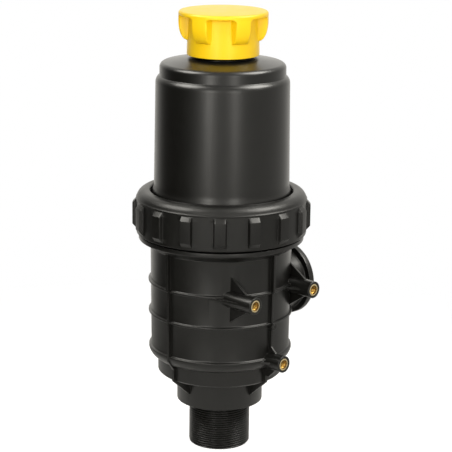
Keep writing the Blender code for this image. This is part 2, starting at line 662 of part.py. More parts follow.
def make_cover_seal():
    """The O-ring fills the corner between the cover's spigot, its flange and the bevel of the rim."""
    leg = CAVITY_R + RIM_BEVEL - SPIGOT_R + (FLANGE_BOTTOM - RIM_TOP)
    room = leg * (1 - 0.5**0.5)
    seal = ring("cover_o_ring", SPIGOT_R + room, room - CLEAR, FLANGE_BOTTOM - room, WIDE_STEPS)
    return finish(seal, "black_rubber")


def knob_outline():
    """The knob's section through a lug: a low dome, the lug's curved face and the skirt."""
    top, rim = KNOB_TOP, KNOB_TOP - KNOB_DOME
    lug_foot = KNOB_TOP - KNOB_RIM_THICK - KNOB_LUG_LENGTH
    points = [(0, top), (KNOB_R * 0.6, top - KNOB_DOME * 0.3)]
    points += arc(KNOB_R - KNOB_TOP_ROUND, rim - KNOB_TOP_ROUND, KNOB_TOP_ROUND, 90, 0, 3)
    fall = KNOB_LUG_LENGTH * 0.85
    for share in (0.35, 0.6, 0.8, 0.93, 1.0):
        radius = KNOB_SKIRT_R + (KNOB_R - KNOB_SKIRT_R) * (1 - share**KNOB_LUG_CURVE) ** 0.5
        points.append((radius, lug_foot + fall * (1 - share)))
    points += [(KNOB_SKIRT_R, KNOB_BOTTOM + KNOB_LUG_LENGTH * 0.35), (KNOB_SKIRT_FOOT_R, KNOB_BOTTOM + EDGE)]
    points += [(KNOB_SKIRT_FOOT_R - EDGE / 2, KNOB_BOTTOM), (KNOB_BORE_R, KNOB_BOTTOM)]
    points += [(KNOB_BORE_R, KNOB_INSIDE_TOP), (KNOB_HUB_R, KNOB_INSIDE_TOP)]
    points += [(KNOB_HUB_R, KNOB_HUB_BOTTOM), (STEM_R + CLEAR, KNOB_HUB_BOTTOM)]
    points += [(STEM_R + CLEAR, KNOB_HUB_BOTTOM + STEM_IN_KNOB + CLEAR)]
    points += [(0, KNOB_HUB_BOTTOM + STEM_IN_KNOB + CLEAR)]
    return points


def knob_recesses():
    """The scoops between the lugs, open below and outwards, closed by the rim above."""
    high = KNOB_TOP - KNOB_RIM_THICK
    low = high - KNOB_LUG_LENGTH
    half = 180 / KNOB_LUGS - KNOB_LUG_DEGREES / 2
    floor = KNOB_SKIRT_R + 0.1 * MM
    outline = arc(0, 0, floor, -half, half, 4) + arc(0, 0, KNOB_R + 4 * MM, half, -half, 2)
    first = KNOB_LUG_FIRST_DEGREES + 180 / KNOB_LUGS
    return [
        plate(f"recess_{i}", outline, high - low, level((high + low) / 2, first + 360 * i / KNOB_LUGS), TOOLS)
        for i in range(KNOB_LUGS)
    ]


def pin_height_in_knob():
    return KNOB_HUB_BOTTOM + STEM_IN_KNOB / 2


def pin_hole(name, height, reach, direction):
    across = towards(direction, (0, 0, height))
    return rod(name, PIN_R + CLEAR, -reach, reach, PIN_STEPS, across, 0.0, TOOLS)


def make_control_knob():
    knob = turned("control_knob", knob_outline(), WIDE_STEPS)
    hole = pin_hole("knob_pin_hole", pin_height_in_knob(), KNOB_HUB_R + EDGE, KNOB_PIN_ALONG)
    combine(knob, "DIFFERENCE", knob_recesses() + [hole])
    return finish(knob, "yellow_polypropylene")


def make_knob_seal():
    low = NECK_TOP + CLEAR
    seal = rod("knob_seal", PIPE_R - CLEAR, low, low + KNOB_SEAL_THICK, INNER_STEPS, None, NECK_BORE_R)
    return finish(seal, "black_rubber")


def make_pin(name, height, reach, direction):
    across = towards(direction, (0, 0, height))
    return finish(rod(name, PIN_R, -reach, reach, PIN_STEPS, across), "stainless_steel")


def wiper_pin_height():
    return WIPER_TOP - WIPER_HUB_LENGTH / 2


def make_valve_stem():
    bottom = PLUG_HUB_BOTTOM - WASHER_THICK - PLUG_NUT_THICK - 3 * CLEAR - EDGE
    top = KNOB_HUB_BOTTOM + STEM_IN_KNOB
    profile = [(0, top), (STEM_R - EDGE, top), (STEM_R, top - EDGE), (STEM_R, PLUG_TOP + CLEAR)]
    profile += [(STEM_SPIGOT_R, PLUG_TOP + CLEAR), (STEM_SPIGOT_R, bottom), (0, bottom)]
    stem = turned("valve_stem", profile, SMALL_STEPS)
    holes = [pin_hole("stem_hole_upper", pin_height_in_knob(), KNOB_HUB_R, KNOB_PIN_ALONG)]
    holes.append(pin_hole("stem_hole_lower", wiper_pin_height(), KNOB_HUB_R, CARRIER_PIN_ALONG))
    combine(stem, "DIFFERENCE", holes)
    return finish(stem, "stainless_steel")


def make_gland():
    """The O-ring round the stem, and the headed bush that holds it down."""
    ring_r = (STEM_R + BUSH_R + CLEAR) / 2
    height = COVER_INSIDE_TOP + CLEAR + STEM_RING_WIRE_R
    finish(ring("stem_o_ring", ring_r, STEM_RING_WIRE_R, height, SMALL_STEPS), "black_rubber")
    low = height + STEM_RING_WIRE_R + CLEAR
    head = COVER_TOP_HEIGHT + GLAND_BOSS_UP + CLEAR
    profile = [(BUSH_HEAD_R, head + BUSH_HEAD_THICK), (BUSH_HEAD_R, head), (BUSH_R, head), (BUSH_R, low)]
    profile += [(STEM_R + CLEAR, low), (STEM_R + CLEAR, head + BUSH_HEAD_THICK)]
    return finish(turned("gland_bush", profile, SMALL_STEPS), "white_acetal")


def plug_wings():
    low = PLUG_BOTTOM - PLUG_WING_LENGTH
    tip = NIPPLE_BORE_R - CLEAR
    sunk = 1 * MM
    outline = [(PLUG_HUB_R - sunk, PLUG_BOTTOM + sunk), (tip - sunk, PLUG_BOTTOM + sunk)]
    outline += [(tip, PLUG_BOTTOM - sunk), (tip, low), (PLUG_WING_ROOM_R, low)]
    outline += [(PLUG_WING_ROOM_R, PLUG_HUB_BOTTOM + sunk)]
    outline += [(PLUG_HUB_R - sunk, PLUG_HUB_BOTTOM + sunk)]
    return [
        plate(f"wing_{i}", outline, PLUG_WING_THICK, upright(360 * i / PLUG_WINGS + 45), TOOLS)
        for i in range(PLUG_WINGS)
    ]


def make_valve_plug():
    bore = STEM_SPIGOT_R + CLEAR
    profile = [(PLUG_R - EDGE, PLUG_TOP), (PLUG_R, PLUG_TOP - EDGE), (PLUG_R, PLUG_BOTTOM)]
    profile += [(PLUG_HUB_R, PLUG_BOTTOM), (PLUG_HUB_R, PLUG_HUB_BOTTOM), (bore, PLUG_HUB_BOTTOM)]
    profile += [(bore, PLUG_TOP)]
    plug = turned("valve_plug", profile, INNER_STEPS)
    combine(plug, "UNION", plug_wings())
    return finish(plug, "white_acetal")


def make_plug_seal():
    low = PLUG_SEAL_BOTTOM
    seal = rod("plug_seal", PLUG_R, low, low + PLUG_SEAL_THICK, INNER_STEPS, None, PLUG_SEAL_BORE_R)
    return finish(seal, "black_rubber")


def make_plug_fixings():
    """The washer and the hexagon nut that hold the plug on the stem's lower end."""
    high = PLUG_HUB_BOTTOM - CLEAR
    bore = STEM_SPIGOT_R + CLEAR
    washer = rod("plug_washer", WASHER_R, high - WASHER_THICK, high, SMALL_STEPS, None, bore)
    finish(washer, "stainless_steel")
    high -= WASHER_THICK + CLEAR
    outer = NUT_ACROSS_CORNERS / 2
    nut = rod("plug_nut", outer, high - PLUG_NUT_THICK, high, 6)
    hole = rod("plug_nut_hole", bore, high - 2 * PLUG_NUT_THICK, high + EDGE, SMALL_STEPS, None, 0.0, TOOLS)
    combine(nut, "DIFFERENCE", [hole])
    return finish(nut, "stainless_steel")


def cage_windows():
    """Openings between the cage's bars. Each cutter passes through two opposite windows."""
    windows = []
    low, high = CAGE_BOTTOM + CAGE_END_THICK, CAGE_TOP - CAGE_END_THICK
    row = (high - low - CAGE_BAND * (CAGE_ROWS - 1)) / CAGE_ROWS
    width = 2 * pi * CAGE_R / CAGE_BARS - CAGE_BAR_WIDTH
    reach = CAGE_R + 5 * MM
    for i in range(CAGE_ROWS):
        bottom = low + i * (row + CAGE_BAND)
        for j in range(CAGE_BARS // 2):
            outline = [(-reach, bottom), (reach, bottom), (reach, bottom + row), (-reach, bottom + row)]
            turn = upright(360 * j / CAGE_BARS + 180 / CAGE_BARS)
            windows.append(plate(f"window_{i}_{j}", outline, width, turn, TOOLS))
    return windows


def make_cage():
    wall = CAGE_R - CAGE_WALL
    lip = 3 * MM
    profile = [(CAGE_R, CAGE_TOP), (CAGE_R, CAGE_BOTTOM), (CAGE_RING_BORE_R, CAGE_BOTTOM)]
    profile += [(CAGE_RING_BORE_R, CAGE_BOTTOM + lip), (wall, CAGE_BOTTOM + lip)]
    profile += [(wall, CAGE_TOP - lip), (CAGE_RING_BORE_R, CAGE_TOP - lip), (CAGE_RING_BORE_R, CAGE_TOP)]
    cage = turned("cartridge_cage", profile, INNER_STEPS)
    combine(cage, "DIFFERENCE", cage_windows())
    finish(cage, "grey_cage_plastic")
    low, high = CAGE_BOTTOM + lip + CLEAR, CAGE_TOP - lip - CLEAR
    mesh = rod("filter_mesh", MESH_R, low, high, INNER_STEPS, None, MESH_R - MESH_THICK)
    return finish(mesh, "steel_mesh")


def make_cartridge_seals():
    for name, low in (("cartridge_bottom_seal", FLOOR_TOP + CLEAR), ("cartridge_top_seal", CAGE_TOP + CLEAR)):
        seal = rod(name, CAGE_R, low, low + SEAL_THICK, INNER_STEPS, None, CAGE_RING_BORE_R)
        finish(seal, "black_rubber")


def make_wiper_carrier():
    """Two hubs on the stem, joined by the upright holders of the wiper blades."""
    outer = BLADE_ROOT_R - CLEAR
    inner = outer - WIPER_HOLDER_DEPTH
    bore = STEM_R + CLEAR
    frames = []
    arm = [(-outer, WIPER_BOTTOM), (outer, WIPER_BOTTOM), (outer, WIPER_TOP), (-outer, WIPER_TOP)]
    frames.append(plate("carrier_frame", arm, WIPER_ARM_THICK, upright(0), TOOLS))
    low, high = WIPER_BOTTOM + WIPER_HUB_LENGTH, WIPER_TOP - WIPER_HUB_LENGTH
    frames.append(rod("carrier_hub_upper", WIPER_HUB_R, high, WIPER_TOP + EDGE, SMALL_STEPS, None, 0.0, TOOLS))
    carrier = rod("wiper_carrier", WIPER_HUB_R, WIPER_BOTTOM - EDGE, low, SMALL_STEPS)
    combine(carrier, "UNION", frames)
    opening = [(-inner, low), (inner, low), (inner, high), (-inner, high)]
    cuts = [plate("carrier_opening", opening, 6 * WIPER_HUB_R, upright(0), TOOLS)]
    start, stop = WIPER_BOTTOM - 5 * EDGE, WIPER_TOP + 5 * EDGE
    cuts.append(rod("carrier_bore", bore, start, stop, SMALL_STEPS, None, 0.0, TOOLS))
    cuts.append(pin_hole("carrier_pin_hole", wiper_pin_height(), WIPER_HUB_R + EDGE, CARRIER_PIN_ALONG))
    combine(carrier, "DIFFERENCE", cuts)
    return finish(carrier, "white_acetal")


def make_wiper_blades():
    for i in range(WIPER_ARMS):
        side = 360 * i / WIPER_ARMS
        low, high = WIPER_BOTTOM + EDGE, WIPER_TOP - EDGE
        outline = [(BLADE_ROOT_R, low), (BLADE_TIP_R, low), (BLADE_TIP_R, high), (BLADE_ROOT_R, high)]
        blade = plate(f"wiper_blade_{i + 1}", outline, BLADE_THICK, upright(side))
        finish(blade, "black_rubber")


make_lower_body()
make_inserts()
make_top_cover()
make_ring_nut()
make_slip_ring()
make_cover_seal()
make_control_knob()
make_knob_seal()
make_valve_stem()
make_pin("knob_pin", pin_height_in_knob(), KNOB_HUB_R - CLEAR, KNOB_PIN_ALONG)
make_pin("carrier_pin", wiper_pin_height(), WIPER_HUB_R - CLEAR, CARRIER_PIN_ALONG)
make_gland()
make_valve_plug()
make_plug_seal()
make_plug_fixings()
make_cage()
make_cartridge_seals()
make_wiper_carrier()
make_wiper_blades()
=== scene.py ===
"""Looks of the suction filter: threads, rounded mouldings, mesh, finishes, camera and light.

The solids of the frame stay where they are. Pieces made here replace the nodes that need finer
surfaces: the lower body, the cover, the ring nut, the knob, the inserts and the filter mesh.
Sizes are in metres. All heights are measured up from the end face of the threaded port.
"""

from math import asin, ceil, cos, degrees, hypot, pi, radians, sin, tan

import bmesh
import bpy
from mathutils import Matrix, Vector


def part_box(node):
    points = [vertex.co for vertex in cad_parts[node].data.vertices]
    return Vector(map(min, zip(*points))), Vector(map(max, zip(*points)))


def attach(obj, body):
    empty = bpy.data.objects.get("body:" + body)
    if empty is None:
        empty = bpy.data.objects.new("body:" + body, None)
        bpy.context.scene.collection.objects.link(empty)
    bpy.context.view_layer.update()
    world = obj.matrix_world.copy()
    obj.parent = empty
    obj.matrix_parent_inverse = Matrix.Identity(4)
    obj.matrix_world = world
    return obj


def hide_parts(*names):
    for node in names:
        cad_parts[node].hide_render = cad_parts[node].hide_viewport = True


MM = 0.001
TURN = 2 * pi
CLEAR = 0.3 * MM
SHARP_ANGLE = radians(32)
THREAD_SHARP_ANGLE = radians(75)

# Columns round a full turn
WIDE_STEPS = 180
MIDDLE_STEPS = 96
SMALL_STEPS = 48
KNOB_STEPS = 216
FLOOR_STEPS = 96

# Steps along fillets and arcs
FILLET_POINTS = 4
ARC_STEPS = 8
LONG_ARC_STEPS = 9
FLARE_STEPS = 6

# Vertices closer than this are one, and a tool reaches this far past the surface that it meets
WELD = 0.002 * MM
OVERLAP = 2 * MM

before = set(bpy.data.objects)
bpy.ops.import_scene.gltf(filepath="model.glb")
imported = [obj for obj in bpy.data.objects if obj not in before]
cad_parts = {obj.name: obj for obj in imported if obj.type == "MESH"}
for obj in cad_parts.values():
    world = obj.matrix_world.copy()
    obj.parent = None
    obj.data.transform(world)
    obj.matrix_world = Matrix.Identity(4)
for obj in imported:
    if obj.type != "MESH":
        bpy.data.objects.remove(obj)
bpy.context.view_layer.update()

# The column stands on the middle of the valve stem
stem_low, stem_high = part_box("valve_stem")
AXIS_X = (stem_low.x + stem_high.x) / 2
COLUMN = Matrix.Translation((AXIS_X, 0, 0))

# Camera, in the photograph's frame of 452 by 452 pixels
PHOTO_PIXELS = 452
CAMERA_AZIMUTH = radians(-45)
CAMERA_DISTANCE = 1.700
CAMERA_HEIGHT = 0.655
CAMERA_TILT = radians(14.37)
CAMERA_ROLL = radians(0.65)
FOCAL_PIXELS = 1812.0
AXIS_PIXEL = 221.1
SENSOR_MM = 36

# Pipe thread G 2 of the port and of the cover's neck, with its rounded crests
PIPE_R = 59.614 / 2 * MM
PIPE_PITCH = 25.4 / 11 * MM
PIPE_DEPTH = 1.479 * MM
NIPPLE_LENGTH = 45 * MM
NIPPLE_BORE_R = PIPE_R - 6.3 * MM
THREAD_END = 1.4 * MM
THREAD_ROWS = 8

# Lower body, as the solids have it apart from the lip, the step's chamfer and the fillets
COLLAR_R = PIPE_R + 12.1 * MM
COLLAR_TOP = NIPPLE_LENGTH + 29.7 * MM
STEP_TOP = COLLAR_TOP + 16.2 * MM
BARREL_R = 67.3 * MM
BARREL_TOP_R = BARREL_R + 1.1 * MM
STEP_R = BARREL_R - 6.5 * MM
SHOULDER_R = 14 * MM
SHOULDER_ANGLES = (15, 60)
SHOULDER_BAND = 3.2 * MM
SHOULDER_LIP = 1.6 * MM
STEP_CHAMFER = 1.7 * MM
BARREL_LENGTH = 102.6 * MM
RIM_FLANGE_CONE = 6.9 * MM
RIM_FLANGE_THICK = 4.1 * MM
RIM_FLANGE_OUT = 8.4 * MM
RIM_THREAD_R = BARREL_TOP_R + 3.1 * MM
RIM_THREAD_LENGTH = 24.7 * MM
RIM_THREAD_DEPTH = 1.6 * MM
RIM_PITCH = 6 * MM
RIM_CORE_GAP = 0.4 * MM
RIM_SLEEVE_THICK = 3 * MM
RIM_FLANGE_ROUND = 1.4 * MM
RIM_CONE_ROUND = 2 * MM
WALL = 4 * MM
BARREL_WALL = 3.5 * MM
FLOOR_THICK = 5 * MM
CHAMBER_FLOOR_THICK = 6 * MM
RIM_BEVEL = 5 * MM
EDGE = 1 * MM
SOFT_EDGE = 0.7 * MM
ROOT_FILLET = 1.2 * MM
HOOP_HEIGHTS = (136.4 * MM, 167.4 * MM)
HOOP_OUT = 2.4 * MM
HOOP_THICK = 2.4 * MM
HOOP_CREST_SHARE = 0.42
RIB_THICK = 2.6 * MM
RIB_OUT = 2.8 * MM
RIB_UPPER_OUT = 4.4 * MM
RIB_ANGLES = (90, 180, 270)
RIB_ROOT_COVER = 1.5 * MM
RIB_SHOULDER_TOP_SHARE = 0.2
RIB_SHOULDER_FOOT_SHARE = 0.25
GUSSET_DROP = 17 * MM
GUSSET_ANGLES = (0, 90, 180, 270)
PLATE_ROUND = 0.45 * MM

# Side port
PORT_HEIGHT = 150.5 * MM
PORT_REACH = BARREL_R + 28.7 * MM
PORT_TUBE_R = 31 * MM
PORT_BORE_R = 26 * MM
PORT_FLANGE_R = 36.5 * MM
PORT_FLANGE_THICK = 6.5 * MM
PORT_ROOT_FILLET = 1.8 * MM
PORT_TUBE_FROM = BARREL_R / 2
PORT_BORE_FROM = BARREL_R * 0.75

# Bosses, inserts and the stub on the front rib
BOSS_FACE = BARREL_R + 19.2 * MM
BOSS_R = 8.2 * MM
BOSSES = (("upper_left", -40 * MM, 165.5 * MM, 22 * MM), ("upper_right", 40 * MM, 165.5 * MM, 22 * MM),
          ("lower", 0.0, 99.5 * MM, 17 * MM))
FIN_THICK = 2.4 * MM
FIN_SIDE = 15.5 * MM
FIN_SHORT_OF_FACE = 9 * MM
INSERT_R = 5.8 * MM
INSERT_BORE_R = 3.4 * MM
INSERT_THREAD_R = 4.0 * MM
INSERT_PITCH = 1.25 * MM
INSERT_LENGTH = 16 * MM
INSERT_SUNK = 0.3 * MM
INSERT_LEAD = 0.9 * MM
INSERT_ROUND = 0.4 * MM
INSERT_BORE_EDGE = 0.4 * MM
POCKET_CLEAR = 0.1 * MM
STUB_R = 3.6 * MM
STUB_OUT = 6 * MM
STUB_DIMPLE_R = 1.6 * MM
STUB_DIMPLE_ROUND = 0.4 * MM
STUB_HEIGHT = 134 * MM

# Top cover
COVER_R = BARREL_R - 3.3 * MM
COVER_BASE_R = COVER_R + 1.2 * MM
COVER_LEDGE = 3.8 * MM
COVER_LEDGE_HEIGHT = 367.6 * MM
COVER_LEDGE_ROUND = 8 * MM
COVER_LEDGE_FILLET = 0.6 * MM
COVER_TOP_HEIGHT = 380 * MM
COVER_TOP_ROUND = 5 * MM
COVER_TOP_SLOPE = 10
COVER_FOOT_R = COVER_BASE_R + 3 * MM
COVER_FOOT_HEIGHT = 257 * MM
COVER_FLARE_LENGTH = 8 * MM
COVER_FLARE_OUT = 1.3 * MM
COVER_FOOT_STEP = 4.5 * MM
COVER_FLANGE_THICK = 7.7 * MM
SPIGOT_LENGTH = 16 * MM
SPIGOT_CLEAR = 0.4 * MM
NECK_TOP = COVER_TOP_HEIGHT + 41 * MM
NECK_BORE_R = PIPE_R - 4.3 * MM
NECK_CORE_GAP = 0.5 * MM
GLAND_BOSS_R = 12.5 * MM
GLAND_BOSS_UP = 12 * MM
GLAND_BOSS_DOWN = 8 * MM
BUSH_R = 8.9 * MM
STEM_R = 6 * MM

# Ring nut
NUT_WALL = 10.3 * MM
NUT_LUG_OUT = 3.9 * MM
NUT_LUGS = 16
NUT_LUG_WIDTH = 12.4 * MM
NUT_LUG_FIRST_DEGREES = 44.3
NUT_LUG_CHAMFER = 4.4 * MM
NUT_LUG_TOP_DROP = 9.5 * MM
NUT_LUG_BOTTOM_RISE = 2.8 * MM
NUT_LUG_SIDE = 1.3 * MM
NUT_LUG_SOFT = 0.5 * MM
NUT_LUG_SIDE_STEPS = 6
NUT_TOP_ROUND_R = 9 * MM
NUT_TOP_ROUND_END = 12
NUT_HOLE_ROUND = 0.4 * MM
NUT_ABOVE_FLANGE = 2 * MM
NUT_LIP = 3 * MM
NUT_LIP_THICK = 9 * MM
NUT_BOTTOM_BEVEL = 0.8 * MM
SLIP_RING_THICK = 1.4 * MM
NUT_RIDGE_OUT = 0.45 * MM
NUT_RIDGE_HALF = 0.8 * MM
NUT_RIDGE_ROUND = 0.3 * MM

# Control knob
KNOB_BORE_R = PIPE_R + 2 * CLEAR
KNOB_SKIRT_R = KNOB_BORE_R + 3.2 * MM
KNOB_SKIRT_FOOT_R = KNOB_SKIRT_R + 0.8 * MM
KNOB_R = KNOB_SKIRT_R + 8.9 * MM
KNOB_BOTTOM = COVER_TOP_HEIGHT + 7.2 * MM
KNOB_INSIDE_TOP = NECK_TOP + 1.8 * MM + 2 * CLEAR
KNOB_TOP = KNOB_INSIDE_TOP + 6.3 * MM
KNOB_RIM_THICK = 4.9 * MM
KNOB_TOP_ROUND = 2.4 * MM
KNOB_DOME = 0.9 * MM
KNOB_DOME_SHARES = ((0.3, 0.08), (0.6, 0.3))
KNOB_RIM_ROUND = 1 * MM
KNOB_RIM_UNDER_ROUND = 2.5 * MM
KNOB_RIM_UNDER_LENGTH = 6 * MM
KNOB_SKIRT_ROWS = 22
KNOB_LUGS = 6
KNOB_LUG_DEGREES = 25
KNOB_LUG_SIDE_DEGREES = 4
KNOB_LUG_LENGTH = 24 * MM
KNOB_LUG_CURVE = 2.5
KNOB_LUG_CURVE_SHARE = 0.85
KNOB_LUG_FIRST_DEGREES = 12
KNOB_HUB_R = 11 * MM
KNOB_HUB_LENGTH = 25 * MM
STEM_IN_KNOB = 21 * MM

# Woven filter mesh
WIRE_R = 0.17 * MM
WIRE_SPACING = 2.0 * MM
WIRE_SIDES = 4
WIRE_SWING = 0.8
RING_STEPS = 96

# Heights and radii that follow
SHOULDER_FROM, SHOULDER_TO = (radians(angle) for angle in SHOULDER_ANGLES)
BARREL_BOTTOM = STEP_TOP + SHOULDER_R * (sin(SHOULDER_TO) - sin(SHOULDER_FROM))
RIM_CONE_BOTTOM = BARREL_BOTTOM + BARREL_LENGTH
RIM_FLANGE_BOTTOM = RIM_CONE_BOTTOM + RIM_FLANGE_CONE
RIM_FLANGE_TOP = RIM_FLANGE_BOTTOM + RIM_FLANGE_THICK
RIM_TOP = RIM_FLANGE_TOP + RIM_THREAD_LENGTH
RIM_FLANGE_R = RIM_THREAD_R + RIM_FLANGE_OUT
CAVITY_R = BARREL_R - BARREL_WALL
COVER_TIER_R = COVER_R - COVER_LEDGE
COVER_FLANGE_R = RIM_THREAD_R - CLEAR
FLOOR_TOP = COLLAR_TOP + FLOOR_THICK
SEAT_TOP = NIPPLE_LENGTH + CHAMBER_FLOOR_THICK
FLANGE_BOTTOM = RIM_TOP + CLEAR
FLANGE_TOP = FLANGE_BOTTOM + COVER_FLANGE_THICK
NUT_SHELF = FLANGE_TOP + SLIP_RING_THICK + 2 * CLEAR
NUT_BOTTOM = RIM_FLANGE_TOP + NUT_ABOVE_FLANGE
NUT_TOP = NUT_SHELF + NUT_LIP_THICK
NUT_BORE_R = COVER_FLANGE_R + 2 * CLEAR
NUT_HOLE_R = NUT_BORE_R - NUT_LIP
NUT_R = NUT_BORE_R + NUT_WALL
COVER_INSIDE_TOP = COVER_TOP_HEIGHT - WALL
SPIGOT_R = CAVITY_R - SPIGOT_CLEAR
KNOB_HUB_BOTTOM = KNOB_INSIDE_TOP - KNOB_HUB_LENGTH


# Shapes


def eased(share):
    """A smooth step from 0 to 1."""
    share = min(max(share, 0.0), 1.0)
    return share * share * (3 - 2 * share)


def arc(centre_r, centre_z, radius, start, end, count):
    """Points along an arc, from one angle to another in degrees, both ends included."""
    points = []
    for i in range(count + 1):
        angle = radians(start + (end - start) * i / count)
        points.append((centre_r + radius * cos(angle), centre_z + radius * sin(angle)))
    return points


def rounded(outline, closed=True):
    """Rounds the corners of an outline that carry a fillet radius as their third value."""
    points = []
    count = len(outline)
    for i, corner in enumerate(outline):
        here = Vector(corner[:2])
        ends = not closed and i in (0, count - 1)
        if len(corner) == 2 or ends:
            points.append(tuple(here))
            continue
        before = Vector(outline[i - 1][:2]) - here
        after = Vector(outline[(i + 1) % count][:2]) - here
        half = before.angle(after) / 2
        reach = min(corner[2] / tan(half), 0.45 * before.length, 0.45 * after.length)
        start, stop = here + before.normalized() * reach, here + after.normalized() * reach
        for k in range(FILLET_POINTS + 1):
            t = k / FILLET_POINTS
            points.append(tuple(start * (1 - t) ** 2 + here * 2 * t * (1 - t) + stop * t * t))
    return points


def even(steps):
    """Angles evenly round a full turn."""
    return [TURN * i / steps for i in range(steps)]


def placed(name, data):
    """A new object in the scene that holds the data."""
    obj = bpy.data.objects.new(name, data)
    bpy.context.scene.collection.objects.link(obj)
    return obj


def settled(name, work):
    """A new object in the scene with the mesh that was worked on."""
    mesh = bpy.data.meshes.new(name)
    work.to_mesh(mesh)
    work.free()
    return placed(name, mesh)


def swept(name, angles, section_at, along=COLUMN, closed=True):
    """One mesh through a section of (radius, height) points at each angle. A section runs down its
    outer side. It is a closed loop, or it starts and ends on the axis."""
    work = bmesh.new()
    columns = []
    for angle in angles:
        across, aside = cos(angle), sin(angle)
        columns.append([work.verts.new((r * across, r * aside, z)) for r, z in section_at(angle)])
    for left, right in zip(columns, columns[1:] + columns[:1]):
        count = len(left)
        for i in range(count if closed else count - 1):
            below = (i + 1) % count
            work.faces.new((left[i], left[below], right[below], right[i]))
    bmesh.ops.remove_doubles(work, verts=work.verts, dist=WELD)
    bmesh.ops.transform(work, matrix=along, verts=work.verts)
    return settled(name, work)


def turned(name, outline, steps, along=COLUMN, closed=True):
    """A round piece with one outline all the way round."""
    points = rounded(outline, closed)
    return swept(name, even(steps), lambda angle: points, along, closed)


def threaded(name, crest_r, depth, pitch, low, high, bore, steps):
    """A threaded sleeve. Its rows climb one pitch in a turn, so the last column meets the first."""
    turns = ceil((high - low) / pitch) + 2
    root = crest_r - depth

    def section(angle):
        points = []
        for k in range(turns * THREAD_ROWS, -THREAD_ROWS, -1):
            z = low + pitch * (k / THREAD_ROWS - 1 + angle / TURN)
            if z >= high or z <= low:
                points.append((root, min(max(z, low), high)))
                continue
            fade = eased((z - low) / THREAD_END) * eased((high - z) / THREAD_END)
            wave = 0.5 + 0.5 * cos(TURN * k / THREAD_ROWS)
            points.append((root + depth * wave * fade, z))
        return points + [(bore, low), (bore, high)]

    return swept(name, even(steps) + [TURN], section)


def tapped(name, outside, root_r, crest_r, pitch, low, high, steps, along):
    """A bush with a thread in its bore, and a lead-in at its upper end."""
    depth = root_r - crest_r
    turns = ceil((high - low) / pitch) + 2
    top = high - INSERT_LEAD
    outer = rounded([(root_r, high), (outside, high, INSERT_ROUND), (outside, low)], False)

    def section(angle):
        points = list(outer)
        for k in range(-THREAD_ROWS, turns * THREAD_ROWS):
            z = low + pitch * (k / THREAD_ROWS - 1 + angle / TURN)
            if z <= low or z >= top:
                points.append((root_r, min(max(z, low), top)))
                continue
            wave = 0.5 + 0.5 * cos(TURN * k / THREAD_ROWS)
            points.append((root_r - depth * wave * eased((top - z) / pitch), z))
        return points + [(root_r + 0.5 * INSERT_LEAD, high)]

    return swept(name, even(steps) + [TURN], section, along)


def plate(name, outline, thickness, matrix):
    """A flat outline of (x, y) points given a thickness, with small rounds along its edges."""
    half = thickness / 2
    layers = ((-half, PLATE_ROUND), (-half + PLATE_ROUND, 0.0),
              (half - PLATE_ROUND, 0.0), (half, PLATE_ROUND))
    middle = sum((Vector(point) for point in outline), Vector((0, 0))) / len(outline)
    work = bmesh.new()
    rings = []
    for height, inset in layers:
        ring = []
        for x, y in outline:
            to_middle = middle - Vector((x, y))
            shifted = Vector((x, y)) + to_middle.normalized() * inset
            ring.append(work.verts.new((*shifted, height)))
        rings.append(ring)
    for lower, upper in zip(rings, rings[1:]):
        for i in range(len(outline)):
            j = (i + 1) % len(outline)
            work.faces.new((lower[i], lower[j], upper[j], upper[i]))
    work.faces.new(rings[0])
    work.faces.new(rings[-1])
    bmesh.ops.recalc_face_normals(work, faces=work.faces)
    bmesh.ops.transform(work, matrix=COLUMN @ matrix, verts=work.verts)
    return settled(name, work)


def upright(angle, x=0.0):
    """A plane that stands on its edge: outline x runs outwards along the angle, outline y runs up."""
    turn = Matrix.Rotation(radians(angle), 4, "Z")
    return Matrix.Translation((x, 0, 0)) @ turn @ Matrix.Rotation(pi / 2, 4, "X")


def towards(direction, start):
    """Turns the height axis of a section to point along a direction."""
    turn = Vector((0, 0, 1)).rotation_difference(Vector(direction)).to_matrix().to_4x4()
    return COLUMN @ Matrix.Translation(start) @ turn


def combine(obj, operation, tools):
    """One Boolean with every tool of a list, settled into the mesh."""
    group = bpy.data.collections.new(f"{obj.name}_{operation.lower()}")
    bpy.context.scene.collection.children.link(group)
    for tool in tools:
        bpy.context.scene.collection.objects.unlink(tool)
        group.objects.link(tool)
    modifier = obj.modifiers.new(operation.title(), "BOOLEAN")
    modifier.operation = operation
    modifier.solver = "EXACT"
    modifier.operand_type = "COLLECTION"
    modifier.collection = group
    bpy.context.view_layer.update()
    graph = bpy.context.evaluated_depsgraph_get()
    mesh = bpy.data.meshes.new_from_object(obj.evaluated_get(graph))
    obj.modifiers.clear()
    obj.data = mesh
    for tool in tools:
        bpy.data.objects.remove(tool)
    bpy.data.collections.remove(group)


def dress(obj, body, material, slot, *nodes):
    """Gives a made piece its finish and its body, and hides the nodes it stands for. The slot is not used."""
    obj.data.materials.clear()
    obj.data.materials.append(MATERIALS[material])
    obj.data.shade_smooth()
    obj.data.set_sharp_from_angle(angle=THREAD_SHARP_ANGLE if material == "thread" else SHARP_ANGLE)
    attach(obj, body)
    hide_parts(*nodes)


# Materials


GRAIN_NOISE = {"detail": 2.0, "roughness": 0.5, "low": 0.2, "high": 0.8}
SMEAR_DETAIL = 4.0
SMEAR_PER_PATCH = 4
BEVEL_SAMPLES = 4


def node(tree, kind, **inputs):
    """A new node with its inputs set by name."""
    made = tree.nodes.new(kind)
    for name, value in inputs.items():
        made.inputs[name.replace("_", " ")].default_value = value
    return made


